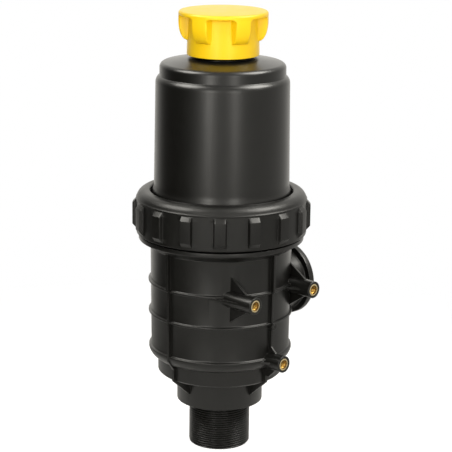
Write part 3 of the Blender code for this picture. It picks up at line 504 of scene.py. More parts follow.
def noise(tree, coords, scale, detail=3.0, roughness=0.5, low=0.25, high=0.75):
    """Noise over the piece's own coordinates, stretched to run from 0 to 1."""
    texture = node(tree, "ShaderNodeTexNoise", Scale=scale, Detail=detail, Roughness=roughness)
    tree.links.new(coords, texture.inputs["Vector"])
    stretch = node(tree, "ShaderNodeMapRange", From_Min=low, From_Max=high)
    tree.links.new(texture.outputs["Fac"], stretch.inputs["Value"])
    return stretch.outputs["Result"]


def between(tree, share, first, second):
    """A value that runs from the first to the second with the share."""
    stretch = node(tree, "ShaderNodeMapRange", To_Min=first, To_Max=second)
    tree.links.new(share, stretch.inputs["Value"])
    return stretch.outputs["Result"]


def mixed_colour(tree, share, first, second):
    """A colour that runs from the first to the second with the share."""
    mix = tree.nodes.new("ShaderNodeMix")
    mix.data_type = "RGBA"
    mix.inputs["A"].default_value = (*first, 1.0)
    mix.inputs["B"].default_value = (*second, 1.0)
    tree.links.new(share, mix.inputs["Factor"])
    return mix.outputs["Result"]


def mixed_shader(tree, share, first, second):
    """A shader that runs from the first to the second with the share."""
    mix = tree.nodes.new("ShaderNodeMixShader")
    tree.links.new(share, mix.inputs["Fac"])
    tree.links.new(first, mix.inputs[1])
    tree.links.new(second, mix.inputs[2])
    return mix.outputs["Shader"]


def worked_out(tree, operation, first, second):
    """The result of one operation on two values."""
    made = tree.nodes.new("ShaderNodeMath")
    made.operation = operation
    tree.links.new(first, made.inputs[0])
    tree.links.new(second, made.inputs[1])
    return made.outputs["Value"]


def finish(name, colour, spread, roughness, roughness_spread, grain, grain_depth, metallic=0.0,
           patch=22.0, edge_round=0.0, specular=0.5, squash=1.0):
    """A surface with slow changes of colour, uneven gloss and a fine grain, in the piece's own space.
    The grain is given in metres, and a squash above 1 packs it closer along the column."""
    material = bpy.data.materials.new(name)
    material.use_nodes = True
    material.diffuse_color = (*colour, 1.0)
    tree = material.node_tree
    shader = tree.nodes["Principled BSDF"]
    shader.inputs["Metallic"].default_value = metallic
    shader.inputs["Specular IOR Level"].default_value = specular
    coords = tree.nodes.new("ShaderNodeTexCoord").outputs["Object"]
    if squash != 1.0:
        mapping = node(tree, "ShaderNodeMapping", Scale=(1, 1, squash))
        tree.links.new(coords, mapping.inputs["Vector"])
        coords = mapping.outputs["Vector"]
    patches = noise(tree, coords, patch)
    paler = tuple(min(channel * (1 + spread), 1.0) for channel in colour)
    darker = tuple(channel * (1 - spread) for channel in colour)
    tree.links.new(mixed_colour(tree, patches, darker, paler), shader.inputs["Base Color"])
    smear = noise(tree, coords, patch * SMEAR_PER_PATCH, SMEAR_DETAIL)
    gloss = between(tree, smear, roughness - roughness_spread, roughness + roughness_spread)
    tree.links.new(gloss, shader.inputs["Roughness"])
    bump = node(tree, "ShaderNodeBump", Strength=1.0, Distance=grain_depth)
    tree.links.new(noise(tree, coords, 1 / grain, **GRAIN_NOISE), bump.inputs["Height"])
    if edge_round:
        bevel = node(tree, "ShaderNodeBevel", Radius=edge_round)
        bevel.samples = BEVEL_SAMPLES
        tree.links.new(bevel.outputs["Normal"], bump.inputs["Normal"])
    tree.links.new(bump.outputs["Normal"], shader.inputs["Normal"])
    return material


BLACK = (0.0034, 0.0033, 0.0027)
YELLOW = (0.95, 0.61, 0.006)
BRASS = (0.90, 0.74, 0.42)
# Painted shade: the inserts' own brass, coloured darker and browner for the shade inside their bores
BRASS_IN_SHADE = (0.40, 0.23, 0.055)

# Colour, spread of colour, roughness, spread of roughness, size of the grain, its depth, and for
# metals how metallic the surface is and how close its patches lie
MATERIALS = {
    "body": finish("black_body", BLACK, 0.2, 0.34, 0.03, 0.9 * MM, 0.005 * MM, edge_round=0.5 * MM,
                   specular=0.46),
    "cover": finish("black_cover", BLACK, 0.2, 0.325, 0.015, 0.9 * MM, 0.004 * MM,
                    edge_round=0.5 * MM),
    "nut": finish("black_nut", BLACK, 0.2, 0.40, 0.03, 0.8 * MM, 0.006 * MM, edge_round=0.4 * MM,
                  specular=0.37),
    "thread": finish("black_thread", BLACK, 0.2, 0.33, 0.02, 0.9 * MM, 0.002 * MM, specular=0.34),
    "knob": finish("yellow_knob", YELLOW, 0.02, 0.38, 0.04, 0.8 * MM, 0.005 * MM,
                   edge_round=0.5 * MM, specular=0.32),
    "brass": finish("brass", BRASS, 0.06, 0.30, 0.06, 0.25 * MM, 0.003 * MM, 1.0, 120.0),
    # Painted shade inside the inserts' bores, on the same metal as the brass above
    "bore": finish("brass_bore_painted_shade", BRASS_IN_SHADE, 0.15, 0.36, 0.06, 0.25 * MM, 0.003 * MM, 1.0, 120.0),
    "rubber": finish("rubber", (0.012, 0.012, 0.012), 0.2, 0.72, 0.08, 0.4 * MM, 0.02 * MM),
    "acetal": finish("acetal", (0.80, 0.80, 0.76), 0.03, 0.42, 0.05, 0.6 * MM, 0.006 * MM,
                     edge_round=0.3 * MM),
    "cage": finish("cage_plastic", (0.16, 0.17, 0.18), 0.10, 0.45, 0.06, 0.8 * MM, 0.012 * MM,
                   edge_round=0.4 * MM),
    "mesh": finish("steel_mesh", (0.52, 0.53, 0.54), 0.10, 0.34, 0.06, 0.3 * MM, 0.004 * MM, 1.0, 60.0),
    "stainless": finish("stainless", (0.60, 0.60, 0.62), 0.06, 0.28, 0.07, 0.3 * MM, 0.004 * MM,
                        1.0, 60.0, edge_round=0.25 * MM, squash=8.0),
}


# Lower body


def barrel_radius(height):
    """The barrel widens a little upwards, as a moulding does."""
    return BARREL_R + (BARREL_TOP_R - BARREL_R) * (height - BARREL_BOTTOM) / BARREL_LENGTH


def body_outline():
    """The outside of the lower body, from its rim down to the collar, without the threads."""
    rim_r = RIM_THREAD_R - RIM_THREAD_DEPTH - RIM_CORE_GAP
    points = [(0, RIM_TOP), (rim_r, RIM_TOP, SOFT_EDGE), (rim_r, RIM_FLANGE_TOP, SOFT_EDGE)]
    points += [(RIM_FLANGE_R, RIM_FLANGE_TOP, EDGE), (RIM_FLANGE_R, RIM_FLANGE_BOTTOM, RIM_FLANGE_ROUND)]
    points += [(BARREL_TOP_R, RIM_CONE_BOTTOM, RIM_CONE_ROUND)]
    for height in sorted(HOOP_HEIGHTS, reverse=True):
        crest = barrel_radius(height) + HOOP_OUT
        top, bottom = height + HOOP_THICK / 2, height - HOOP_THICK / 2
        crest_half = HOOP_THICK * HOOP_CREST_SHARE
        points += [(barrel_radius(top), top, ROOT_FILLET), (crest, height + crest_half, SOFT_EDGE)]
        points += [(crest, height - crest_half, SOFT_EDGE), (barrel_radius(bottom), bottom, ROOT_FILLET)]
    band_top, band_r = BARREL_BOTTOM + SHOULDER_BAND, BARREL_R + HOOP_OUT
    points += [(barrel_radius(band_top), band_top, ROOT_FILLET)]
    points += [(band_r, band_top - HOOP_THICK / 4, SOFT_EDGE)]
    centre_r = band_r - SHOULDER_R * cos(SHOULDER_FROM)
    centre_z = BARREL_BOTTOM + SHOULDER_R * sin(SHOULDER_FROM)
    first, last = SHOULDER_ANGLES
    shoulder = arc(centre_r, centre_z, SHOULDER_R, -first, -last, LONG_ARC_STEPS)
    points += shoulder[:-1] + [(*shoulder[-1], SHOULDER_LIP)]
    points += [(STEP_R, STEP_TOP, ROOT_FILLET), (STEP_R, COLLAR_TOP + STEP_CHAMFER, SOFT_EDGE)]
    points += [(STEP_R - STEP_CHAMFER, COLLAR_TOP, SOFT_EDGE)]
    points += [(COLLAR_R, COLLAR_TOP, ROOT_FILLET), (COLLAR_R, NIPPLE_LENGTH, EDGE), (0, NIPPLE_LENGTH)]
    return points


def cavity_outline():
    """The inside of the lower body, from above its rim down to the port's bore."""
    inner_step = STEP_R - WALL
    inner_shoulder = CAVITY_R - inner_step
    points = [(0, RIM_TOP + OVERLAP), (CAVITY_R + RIM_BEVEL + OVERLAP, RIM_TOP + OVERLAP)]
    points += [(CAVITY_R, RIM_TOP - RIM_BEVEL)]
    points += arc(inner_step, BARREL_BOTTOM + EDGE, inner_shoulder, 0, -90, ARC_STEPS)
    points += [(inner_step, FLOOR_TOP, EDGE), (COLLAR_R - WALL, FLOOR_TOP, EDGE)]
    points += [(COLLAR_R - WALL, SEAT_TOP, EDGE), (NIPPLE_BORE_R, SEAT_TOP, EDGE)]
    points += [(NIPPLE_BORE_R, NIPPLE_LENGTH - OVERLAP), (0, NIPPLE_LENGTH - OVERLAP)]
    return points


def body_ribs():
    """Upright ribs on the barrel that step in with it, and the gussets under the step."""
    ribs = []
    root = CAVITY_R + RIB_ROOT_COVER
    upper = max(HOOP_HEIGHTS)
    shoulder_top = BARREL_BOTTOM - RIB_SHOULDER_TOP_SHARE * SHOULDER_R
    shoulder_foot = STEP_TOP - RIB_SHOULDER_FOOT_SHARE * SHOULDER_R
    outline = [(root, RIM_FLANGE_BOTTOM + EDGE), (BARREL_TOP_R + RIB_UPPER_OUT, RIM_FLANGE_BOTTOM + EDGE)]
    outline += [(barrel_radius(upper) + RIB_UPPER_OUT, upper), (barrel_radius(upper) + RIB_OUT, upper - EDGE)]
    outline += [(BARREL_R + RIB_OUT, shoulder_top), (STEP_R + RIB_OUT, shoulder_foot)]
    outline += [(STEP_R + RIB_OUT, COLLAR_TOP + EDGE), (STEP_R - WALL / 2, COLLAR_TOP + EDGE)]
    outline += [(STEP_R - WALL / 2, STEP_TOP)]
    for angle in RIB_ANGLES:
        ribs.append(plate(f"rib_{angle}", outline, RIB_THICK, upright(angle)))
    for angle in GUSSET_ANGLES:
        edge = STEP_R + RIB_OUT if angle in RIB_ANGLES else STEP_R - EDGE / 2
        gusset = [(COLLAR_R - OVERLAP, COLLAR_TOP + OVERLAP), (edge - OVERLAP, COLLAR_TOP + OVERLAP)]
        gusset += [(edge, COLLAR_TOP + EDGE), (COLLAR_R + EDGE / 2, COLLAR_TOP - GUSSET_DROP)]
        gusset += [(COLLAR_R - OVERLAP, COLLAR_TOP - GUSSET_DROP)]
        ribs.append(plate(f"gusset_{angle}", gusset, RIB_THICK, upright(angle)))
    return ribs


def boss_tools():
    """The bosses with their fins, and the pockets of the inserts."""
    adders, pockets = [], []
    fin_end = -BOSS_FACE + FIN_SHORT_OF_FACE
    pocket_end = BOSS_FACE - INSERT_LENGTH - INSERT_SUNK - CLEAR
    for name, x, height, fin_up in BOSSES:
        wall_y = -((BARREL_R**2 - x**2) ** 0.5)
        root = wall_y + 2 * WALL
        front = towards((0, -1, 0), (x, 0, height))
        profile = [(0, BOSS_FACE), (BOSS_R, BOSS_FACE, SOFT_EDGE), (BOSS_R, -root), (0, -root)]
        adders.append(turned(f"boss_{name}", profile, SMALL_STEPS, front, False))
        fin = [(-root, -fin_up), (-wall_y, -fin_up), (-fin_end, -BOSS_R + EDGE)]
        fin += [(-fin_end, BOSS_R - EDGE), (-wall_y, fin_up), (-root, fin_up)]
        side = upright(-90, x) @ Matrix.Translation((0, height, 0))
        adders.append(plate(f"fin_{name}", fin, FIN_THICK, side))
        left_y = -((BARREL_R**2 - (x - FIN_SIDE) ** 2) ** 0.5)
        right_y = -((BARREL_R**2 - (x + FIN_SIDE) ** 2) ** 0.5)
        web = [(-FIN_SIDE, left_y), (-BOSS_R + EDGE, fin_end), (BOSS_R - EDGE, fin_end)]
        web += [(FIN_SIDE, right_y), (FIN_SIDE, right_y + 2 * WALL), (-FIN_SIDE, left_y + 2 * WALL)]
        adders.append(plate(f"web_{name}", web, FIN_THICK, Matrix.Translation((x, 0, height))))
        pocket = [(0, BOSS_FACE + EDGE), (INSERT_R + POCKET_CLEAR, BOSS_FACE + EDGE)]
        pocket += [(INSERT_R + POCKET_CLEAR, pocket_end), (0, pocket_end)]
        pockets.append(turned(f"pocket_{name}", pocket, SMALL_STEPS, front, False))
    return adders, pockets


def stub_tool():
    """A short round stub on the front rib, with a dimple in its end."""
    end, root = BARREL_R + STUB_OUT, BARREL_R - BARREL_WALL / 2
    profile = [(0, end - EDGE), (STUB_DIMPLE_R, end, STUB_DIMPLE_ROUND), (STUB_R, end, EDGE / 2)]
    profile += [(STUB_R, root), (0, root)]
    return turned("stub", profile, SMALL_STEPS, towards((0, -1, 0), (0, 0, STUB_HEIGHT)), False)


def port_tools():
    """The side port's tube with its clamp flange, and its bore."""
    along = towards((1, 0, 0), (0, 0, PORT_HEIGHT))
    back = PORT_REACH - PORT_FLANGE_THICK
    profile = [(0, PORT_REACH), (PORT_FLANGE_R, PORT_REACH, EDGE), (PORT_FLANGE_R, back, EDGE)]
    profile += [(PORT_TUBE_R, back, PORT_ROOT_FILLET), (PORT_TUBE_R, PORT_TUBE_FROM), (0, PORT_TUBE_FROM)]
    tube = turned("port_tube", profile, MIDDLE_STEPS, along, False)
    bore = [(0, PORT_REACH + EDGE), (PORT_BORE_R + EDGE, PORT_REACH + EDGE)]
    bore += [(PORT_BORE_R, PORT_REACH - EDGE), (PORT_BORE_R, PORT_BORE_FROM), (0, PORT_BORE_FROM)]
    return tube, turned("port_bore", bore, MIDDLE_STEPS, along, False)


def make_lower_body():
    """The moulding with its ribs, bosses and ports, and its two threads."""
    body = turned("lower_body_moulding", body_outline(), WIDE_STEPS, closed=False)
    bosses, pockets = boss_tools()
    tube, bore = port_tools()
    combine(body, "UNION", body_ribs() + bosses + [stub_tool(), tube])
    cavity = turned("body_cavity", cavity_outline(), WIDE_STEPS, closed=False)
    combine(body, "DIFFERENCE", [cavity, bore] + pockets)
    dress(body, "housing", "body", "black_body", "lower_body")
    port = threaded("port_thread", PIPE_R, PIPE_DEPTH, PIPE_PITCH, 0.0, NIPPLE_LENGTH + EDGE, NIPPLE_BORE_R,
                    WIDE_STEPS)
    dress(port, "housing", "thread", "black_body", "lower_body")
    rim = threaded("rim_thread", RIM_THREAD_R, RIM_THREAD_DEPTH, RIM_PITCH, RIM_FLANGE_TOP - EDGE,
                   RIM_TOP - CLEAR, RIM_THREAD_R - RIM_SLEEVE_THICK, WIDE_STEPS)
    dress(rim, "housing", "thread", "black_body", "lower_body")


def make_inserts():
    """The threaded brass inserts, with painted shade in their bores: the faces round the thread take a
    darker, browner brass colour.
    """
    for name, x, height, _ in BOSSES:
        outside = BOSS_FACE - INSERT_SUNK
        front = towards((0, -1, 0), (x, 0, height))
        insert = tapped(f"insert_{name}_turned", INSERT_R, INSERT_THREAD_R, INSERT_BORE_R, INSERT_PITCH,
                        outside - INSERT_LENGTH, outside, SMALL_STEPS, front)
        dress(insert, "housing", "brass", "brass", f"insert_{name}")
        insert.data.materials.append(MATERIALS["bore"])
        # Painted shade: faces near the axis, in the threaded bore, take the darker brass
        for face in insert.data.polygons:
            aside = hypot(face.center.x - AXIS_X - x, face.center.z - height)
            face.material_index = 1 if aside < INSERT_THREAD_R + INSERT_BORE_EDGE else 0


# Cover, nut and knob


def cover_outline():
    """The whole section of the cover, down its outside and up its inside."""
    flare_top = COVER_FOOT_HEIGHT + COVER_FLARE_LENGTH
    top = COVER_TOP_HEIGHT
    neck_r = PIPE_R - PIPE_DEPTH - NECK_CORE_GAP
    rounding = arc(COVER_TIER_R - COVER_TOP_ROUND, top - COVER_TOP_ROUND, COVER_TOP_ROUND,
                   90 - COVER_TOP_SLOPE, 0, ARC_STEPS)
    slope_from, slope_low = rounding[0]
    slope_high = slope_low + (slope_from - neck_r) * tan(radians(COVER_TOP_SLOPE))
    lean = asin((COVER_LEDGE_ROUND - COVER_LEDGE) / COVER_LEDGE_ROUND)
    ledge_z = COVER_LEDGE_HEIGHT - COVER_LEDGE_ROUND * cos(lean)
    points = [(neck_r, NECK_TOP - EDGE), (neck_r, slope_high)]
    points += rounding
    ledge = arc(COVER_R - COVER_LEDGE_ROUND, ledge_z, COVER_LEDGE_ROUND, 90 - degrees(lean), 0, ARC_STEPS)
    points += [(*ledge[0], COVER_LEDGE_FILLET)] + ledge[1:]
    for k in range(FLARE_STEPS + 1):
        share = k / FLARE_STEPS
        points.append((COVER_BASE_R + COVER_FLARE_OUT * share**3, flare_top - COVER_FLARE_LENGTH * share))
    foot = COVER_FOOT_HEIGHT - COVER_FOOT_STEP
    points += [(points[-1][0], foot), (COVER_FOOT_R, foot - EDGE), (COVER_FOOT_R, FLANGE_TOP)]
    points += [(COVER_FLANGE_R, FLANGE_TOP, SOFT_EDGE), (COVER_FLANGE_R, FLANGE_BOTTOM, SOFT_EDGE)]
    points += [(SPIGOT_R, FLANGE_BOTTOM), (SPIGOT_R, RIM_TOP - SPIGOT_LENGTH, SOFT_EDGE)]
    points += [(COVER_R - WALL, RIM_TOP - SPIGOT_LENGTH), (COVER_R - WALL, ledge_z - WALL / 2)]
    points += [(COVER_TIER_R - WALL, ledge_z), (COVER_TIER_R - WALL, COVER_INSIDE_TOP)]
    points += [(GLAND_BOSS_R, COVER_INSIDE_TOP), (GLAND_BOSS_R, COVER_INSIDE_TOP - GLAND_BOSS_DOWN)]
    points += [(STEM_R + CLEAR, COVER_INSIDE_TOP - GLAND_BOSS_DOWN), (STEM_R + CLEAR, COVER_INSIDE_TOP)]
    points += [(BUSH_R + CLEAR, COVER_INSIDE_TOP), (BUSH_R + CLEAR, top + GLAND_BOSS_UP)]
    points += [(GLAND_BOSS_R, top + GLAND_BOSS_UP), (GLAND_BOSS_R, top + EDGE), (NECK_BORE_R, top + EDGE)]
    points += [(NECK_BORE_R, NECK_TOP - EDGE)]
    return points


def make_top_cover():
    """The cover, and the thread of its neck."""
    cover = turned("top_cover_moulding", cover_outline(), WIDE_STEPS)
    dress(cover, "housing", "cover", "black_cover", "top_cover")
    neck = threaded("neck_thread", PIPE_R, PIPE_DEPTH, PIPE_PITCH, COVER_TOP_HEIGHT + EDGE, NECK_TOP,
                    PIPE_R - PIPE_DEPTH - EDGE, WIDE_STEPS)
    dress(neck, "housing", "thread", "black_cover", "top_cover")


def off_lug(angle, first, step):
    """The angle from the middle of the nearest lug, in a ring of lugs one step apart."""
    return abs((angle - first + step / 2) % step - step / 2)


def lug_reach(height):
    """How far a lug of the ring nut stands out at a height: a flat face between two chamfers."""
    top = NUT_TOP - NUT_LUG_TOP_DROP
    bottom = NUT_BOTTOM + NUT_LUG_BOTTOM_RISE
    share = min(top - height, height - bottom) / NUT_LUG_CHAMFER
    return NUT_LUG_OUT * min(max(share, 0.0), 1.0)


def nut_angles():
    """Columns close together at the sides of each lug, and wide apart between them."""
    half = NUT_LUG_WIDTH / 2 / NUT_R
    side = NUT_LUG_SIDE / NUT_R
    gap = TURN / NUT_LUGS - 2 * half
    last = NUT_LUG_SIDE_STEPS
    offsets = [-half + side * k / last for k in range(last + 1)]
    offsets += [(half - side) * k / 3 for k in (-2, -1, 0, 1, 2)]
    offsets += [half - side * (last - k) / last for k in range(last + 1)]
    offsets += [half + gap * k / 4 for k in (1, 2, 3)]
    first = radians(NUT_LUG_FIRST_DEGREES)
    return [first + TURN * i / NUT_LUGS + offset for i in range(NUT_LUGS) for offset in offsets]


def make_ring_nut():
    """The ring nut: a round crown with a ridge, and lugs down its flank."""
    half = NUT_LUG_WIDTH / 2 / NUT_R
    side = NUT_LUG_SIDE / NUT_R
    step = TURN / NUT_LUGS
    first = radians(NUT_LUG_FIRST_DEGREES)
    top = NUT_TOP - NUT_LUG_TOP_DROP
    bottom = NUT_BOTTOM + NUT_LUG_BOTTOM_RISE
    ridge = NUT_TOP - NUT_TOP_ROUND_R + NUT_RIDGE_HALF
    crown = [(NUT_HOLE_R, NUT_TOP - EDGE), (NUT_HOLE_R + EDGE, NUT_TOP, NUT_HOLE_ROUND)]
    crown += arc(NUT_R - NUT_TOP_ROUND_R, NUT_TOP - NUT_TOP_ROUND_R, NUT_TOP_ROUND_R, 90,
                 NUT_TOP_ROUND_END, LONG_ARC_STEPS)
    crown += [(NUT_R + NUT_RIDGE_OUT, ridge + NUT_RIDGE_HALF / 2, NUT_RIDGE_ROUND)]
    crown += [(NUT_R + NUT_RIDGE_OUT, ridge - NUT_RIDGE_HALF / 2, NUT_RIDGE_ROUND)]
    crown += [(NUT_R, ridge - NUT_RIDGE_HALF)]
    crown = rounded(crown, False)
    soft = NUT_LUG_SOFT
    rows = (soft, 0.0, -soft)
    heights = [edge + row for edge in (top, top - NUT_LUG_CHAMFER) for row in rows]
    heights += [(top + bottom) / 2]
    heights += [edge + row for edge in (bottom + NUT_LUG_CHAMFER, bottom) for row in rows]
    foot = [(NUT_R, bottom - 2 * soft), (NUT_R, NUT_BOTTOM, NUT_BOTTOM_BEVEL)]
    foot += [(NUT_BORE_R, NUT_BOTTOM, EDGE), (NUT_BORE_R, NUT_SHELF), (NUT_HOLE_R, NUT_SHELF)]
    foot = rounded(foot, False)

    def section(angle):
        weight = eased((half - off_lug(angle, first, step)) / side)
        flank = []
        for z in heights:
            reach = (lug_reach(z + soft / 2) + 2 * lug_reach(z) + lug_reach(z - soft / 2)) / 4
            flank.append((NUT_R + reach * weight, z))
        return crown + flank + foot

    nut = swept("ring_nut_moulding", nut_angles(), section)
    dress(nut, "nut", "nut", "black_nut", "ring_nut")


def knob_lug_radius(height):
    """A lug's face: upright below the rim, then curving in to the skirt."""
    foot = KNOB_TOP - KNOB_RIM_THICK - KNOB_LUG_LENGTH
    share = 1 - (height - foot) / (KNOB_LUG_LENGTH * KNOB_LUG_CURVE_SHARE)
    if share >= 1:
        return KNOB_SKIRT_R
    return KNOB_SKIRT_R + (KNOB_R - KNOB_SKIRT_R) * (1 - max(share, 0.0) ** KNOB_LUG_CURVE) ** 0.5


def make_knob():
    """The knob: a low dome, a rim, a skirt, and lugs that reach from the rim down the skirt."""
    step = TURN / KNOB_LUGS
    first = radians(KNOB_LUG_FIRST_DEGREES)
    half, side = radians(KNOB_LUG_DEGREES) / 2, radians(KNOB_LUG_SIDE_DEGREES)
    rim = KNOB_TOP - KNOB_DOME
    rim_foot = KNOB_TOP - KNOB_RIM_THICK
    foot_z = KNOB_BOTTOM + EDGE
    start_z = rim_foot - KNOB_RIM_UNDER_LENGTH
    crown = [(0, KNOB_TOP)]
    crown += [(KNOB_R * out, KNOB_TOP - KNOB_DOME * drop) for out, drop in KNOB_DOME_SHARES]
    crown += arc(KNOB_R - KNOB_TOP_ROUND, rim - KNOB_TOP_ROUND, KNOB_TOP_ROUND, 90, 0, ARC_STEPS)
    under = rounded([(KNOB_R, rim - KNOB_TOP_ROUND - CLEAR), (KNOB_R, rim_foot, KNOB_RIM_ROUND),
                     (KNOB_SKIRT_R, rim_foot, KNOB_RIM_UNDER_ROUND), (KNOB_SKIRT_R, start_z)], False)
    stem_hole_top = KNOB_HUB_BOTTOM + STEM_IN_KNOB + CLEAR
    inside = rounded([(KNOB_SKIRT_FOOT_R, foot_z), (KNOB_SKIRT_FOOT_R, KNOB_BOTTOM, EDGE / 2),
                      (KNOB_BORE_R, KNOB_BOTTOM, EDGE / 2), (KNOB_BORE_R, KNOB_INSIDE_TOP),
                      (KNOB_HUB_R, KNOB_INSIDE_TOP), (KNOB_HUB_R, KNOB_HUB_BOTTOM, EDGE / 2),
                      (STEM_R + CLEAR, KNOB_HUB_BOTTOM), (STEM_R + CLEAR, stem_hole_top),
                      (0, stem_hole_top)], False)

    def section(angle):
        weight = eased((half + side / 2 - off_lug(angle, first, step)) / side)
        points = list(crown)
        for i, (r, z) in enumerate(under):
            share = i / (len(under) - 1)
            lug_z = under[0][1] + (start_z - under[0][1]) * share
            lug = Vector((knob_lug_radius(lug_z), lug_z))
            points.append(tuple(Vector((r, z)).lerp(lug, weight)))
        for k in range(1, KNOB_SKIRT_ROWS):
            z = start_z + (foot_z - start_z) * k / KNOB_SKIRT_ROWS
            down = eased((start_z - z) / (start_z - foot_z))
            skirt = KNOB_SKIRT_R + (KNOB_SKIRT_FOOT_R - KNOB_SKIRT_R) * down
            lug = max(knob_lug_radius(z), skirt)
            points.append((skirt + (lug - skirt) * weight, z))
        return points + inside

    knob = swept("control_knob_moulding", even(KNOB_STEPS), section, closed=False)
    dress(knob, "knob", "knob", "yellow_knob", "control_knob")


# Filter mesh


def make_filter_mesh():
    """A plain weave: straight wires along the column, and rings that pass over and under them."""
    low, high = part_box("filter_mesh")
    outer = (high.x - low.x) / 2
    middle = outer - 2 * WIRE_R
    uprights = int(TURN * middle / WIRE_SPACING / 2) * 2
    rings = int((high.z - low.z) / WIRE_SPACING)
    work = bmesh.new()
    turns = [TURN * k / WIRE_SIDES + pi / 4 for k in range(WIRE_SIDES)]
    corners = [(cos(turn), sin(turn)) for turn in turns]

    def tube(loops, cyclic):
        following = loops[1:] + loops[:1] if cyclic else loops[1:]
        for here, there in zip(loops, following):
            for k in range(WIRE_SIDES):
                j = (k + 1) % WIRE_SIDES
                work.faces.new((here[k], here[j], there[j], there[k]))
        if not cyclic:
            work.faces.new(loops[0])
            work.faces.new(loops[-1])

    for i in range(uprights):
        angle = TURN * i / uprights
        out, aside = Vector((cos(angle), sin(angle), 0)), Vector((-sin(angle), cos(angle), 0))
        loops = []
        for z in (low.z, high.z):
            centre = out * middle + Vector((0, 0, z))
            loops.append([work.verts.new(centre + (out * a + aside * b) * WIRE_R) for a, b in corners])
        tube(loops, False)
    for i in range(rings):
        z = low.z + WIRE_SPACING * (i + 0.5)
        loops = []
        for k in range(RING_STEPS):
            angle = TURN * k / RING_STEPS
            out = Vector((cos(angle), sin(angle), 0))
            wave = (-1) ** (k + i) * WIRE_R * WIRE_SWING
            centre = out * (middle + wave) + Vector((0, 0, z))
            section = [centre + (out * a + Vector((0, 0, b))) * WIRE_R for a, b in corners]
            loops.append([work.verts.new(point) for point in section])
        tube(loops, True)
    bmesh.ops.recalc_face_normals(work, faces=work.faces)
    bmesh.ops.transform(work, matrix=COLUMN, verts=work.verts)
    dress(settled("woven_mesh", work), "housing", "mesh", "steel_mesh", "filter_mesh")


KEPT_NODES = {
    "rubber": ("cover_o_ring", "stem_o_ring", "cartridge_bottom_seal", "cartridge_top_seal", "knob_seal",
               "plug_seal", "wiper_blade_1", "wiper_blade_2"),
    "acetal": ("gland_bush", "slip_ring", "valve_plug", "wiper_carrier"),
    "cage": ("cartridge_cage",),
    "stainless": ("valve_stem", "knob_pin", "carrier_pin", "plug_washer", "plug_nut"),
}


def finish_kept_nodes():
    """The pieces inside keep their solids, and get their finishes here."""
    for material, names in KEPT_NODES.items():
        for name in names:
            obj = bpy.data.objects[name]
            obj.data.materials.clear()
            obj.data.materials.append(MATERIALS[material])


# Camera, floor, world and lamps


def make_camera():
    """The camera that took the picture, worked out from its pixels."""
    data = bpy.data.cameras.new("camera")
    camera = placed("camera", data)
    data.sensor_width = SENSOR_MM
    data.lens = FOCAL_PIXELS / PHOTO_PIXELS * SENSOR_MM
    aside, ahead = sin(CAMERA_AZIMUTH), -cos(CAMERA_AZIMUTH)
    place = Vector((AXIS_X + CAMERA_DISTANCE * aside, CAMERA_DISTANCE * ahead, CAMERA_HEIGHT))
    yaw = (PHOTO_PIXELS / 2 - AXIS_PIXEL) / FOCAL_PIXELS
    turn = Matrix.Rotation(CAMERA_AZIMUTH - yaw, 4, "Z")
    turn = turn @ Matrix.Rotation(pi / 2 - CAMERA_TILT, 4, "X") @ Matrix.Rotation(CAMERA_ROLL, 4, "Z")
    camera.matrix_world = Matrix.Translation(place) @ turn
    bpy.context.scene.camera = camera


# Brightness of the room round the object, by degrees to the right of the camera's side
ROOM = ((-180, 1.0), (-152, 0.78), (-134, 0.34), (-118, 0.01), (-68, 0.01), (-50, 0.15), (-36, 0.45),
        (0, 0.47), (40, 0.46), (52, 0.37), (120, 0.39), (145, 0.62), (180, 1.0))
ROOM_GAIN = 1.5
ROOM_TINT = (1.0, 0.975, 0.91)
FLOOR_R = 0.62
FLOOR_FADE = 0.30
FLOOR_CLEAR_EDGE = 0.01
FLOOR_BELOW = 0.1 * MM
FLOOR_GLOW = 0.72
# Painted light falloff: the paper's colour runs from the near value to the far one with distance from the
# column
PAINTED_FALLOFF_NEAR, PAINTED_FALLOFF_FAR = 0.88, 0.36
PAINTED_FALLOFF_FROM, PAINTED_FALLOFF_TO = 0.06, 0.42


def room_angle(degrees_right):
    """The scene's own angle of a direction that is this far to the right of the camera's side."""
    return -pi / 2 + CAMERA_AZIMUTH + radians(degrees_right)


def make_world():
    """White for the camera, and a studio room for reflections."""
    world = bpy.data.worlds.new("studio")
    bpy.context.scene.world = world
    world.use_nodes = True
    tree = world.node_tree
    tree.nodes.clear()
    links = tree.links
    coords = tree.nodes.new("ShaderNodeTexCoord").outputs["Generated"]
    turn = tree.nodes.new("ShaderNodeVectorRotate")
    turn.rotation_type = "Z_AXIS"
    turn.inputs["Angle"].default_value = -room_angle(0)
    links.new(coords, turn.inputs["Vector"])
    split = tree.nodes.new("ShaderNodeSeparateXYZ")
    links.new(turn.outputs["Vector"], split.inputs["Vector"])
    around = worked_out(tree, "ARCTAN2", split.outputs["Y"], split.outputs["X"])
    share = node(tree, "ShaderNodeMapRange", From_Min=-pi, From_Max=pi)
    links.new(around, share.inputs["Value"])
    ramp = tree.nodes.new("ShaderNodeValToRGB")
    ramp.color_ramp.interpolation = "B_SPLINE"
    points = ramp.color_ramp.elements
    while len(points) > 1:
        points.remove(points[-1])
    for i, (angle, value) in enumerate(ROOM):
        point = points[0] if i == 0 else points.new(angle / 360 + 0.5)
        point.position = angle / 360 + 0.5
        point.color = (*(value * channel for channel in ROOM_TINT), 1)
    links.new(share.outputs["Result"], ramp.inputs["Fac"])
    room = node(tree, "ShaderNodeBackground", Strength=ROOM_GAIN)
    links.new(ramp.outputs["Color"], room.inputs["Color"])
    white = node(tree, "ShaderNodeBackground", Color=(1, 1, 1, 1), Strength=1.0)
    rays = tree.nodes.new("ShaderNodeLightPath").outputs
    seen = worked_out(tree, "MAXIMUM", rays["Is Camera Ray"], rays["Is Transmission Ray"])
    mixed = mixed_shader(tree, seen, room.outputs["Background"], white.outputs["Background"])
    output = tree.nodes.new("ShaderNodeOutputWorld")
    links.new(mixed, output.inputs["Surface"])


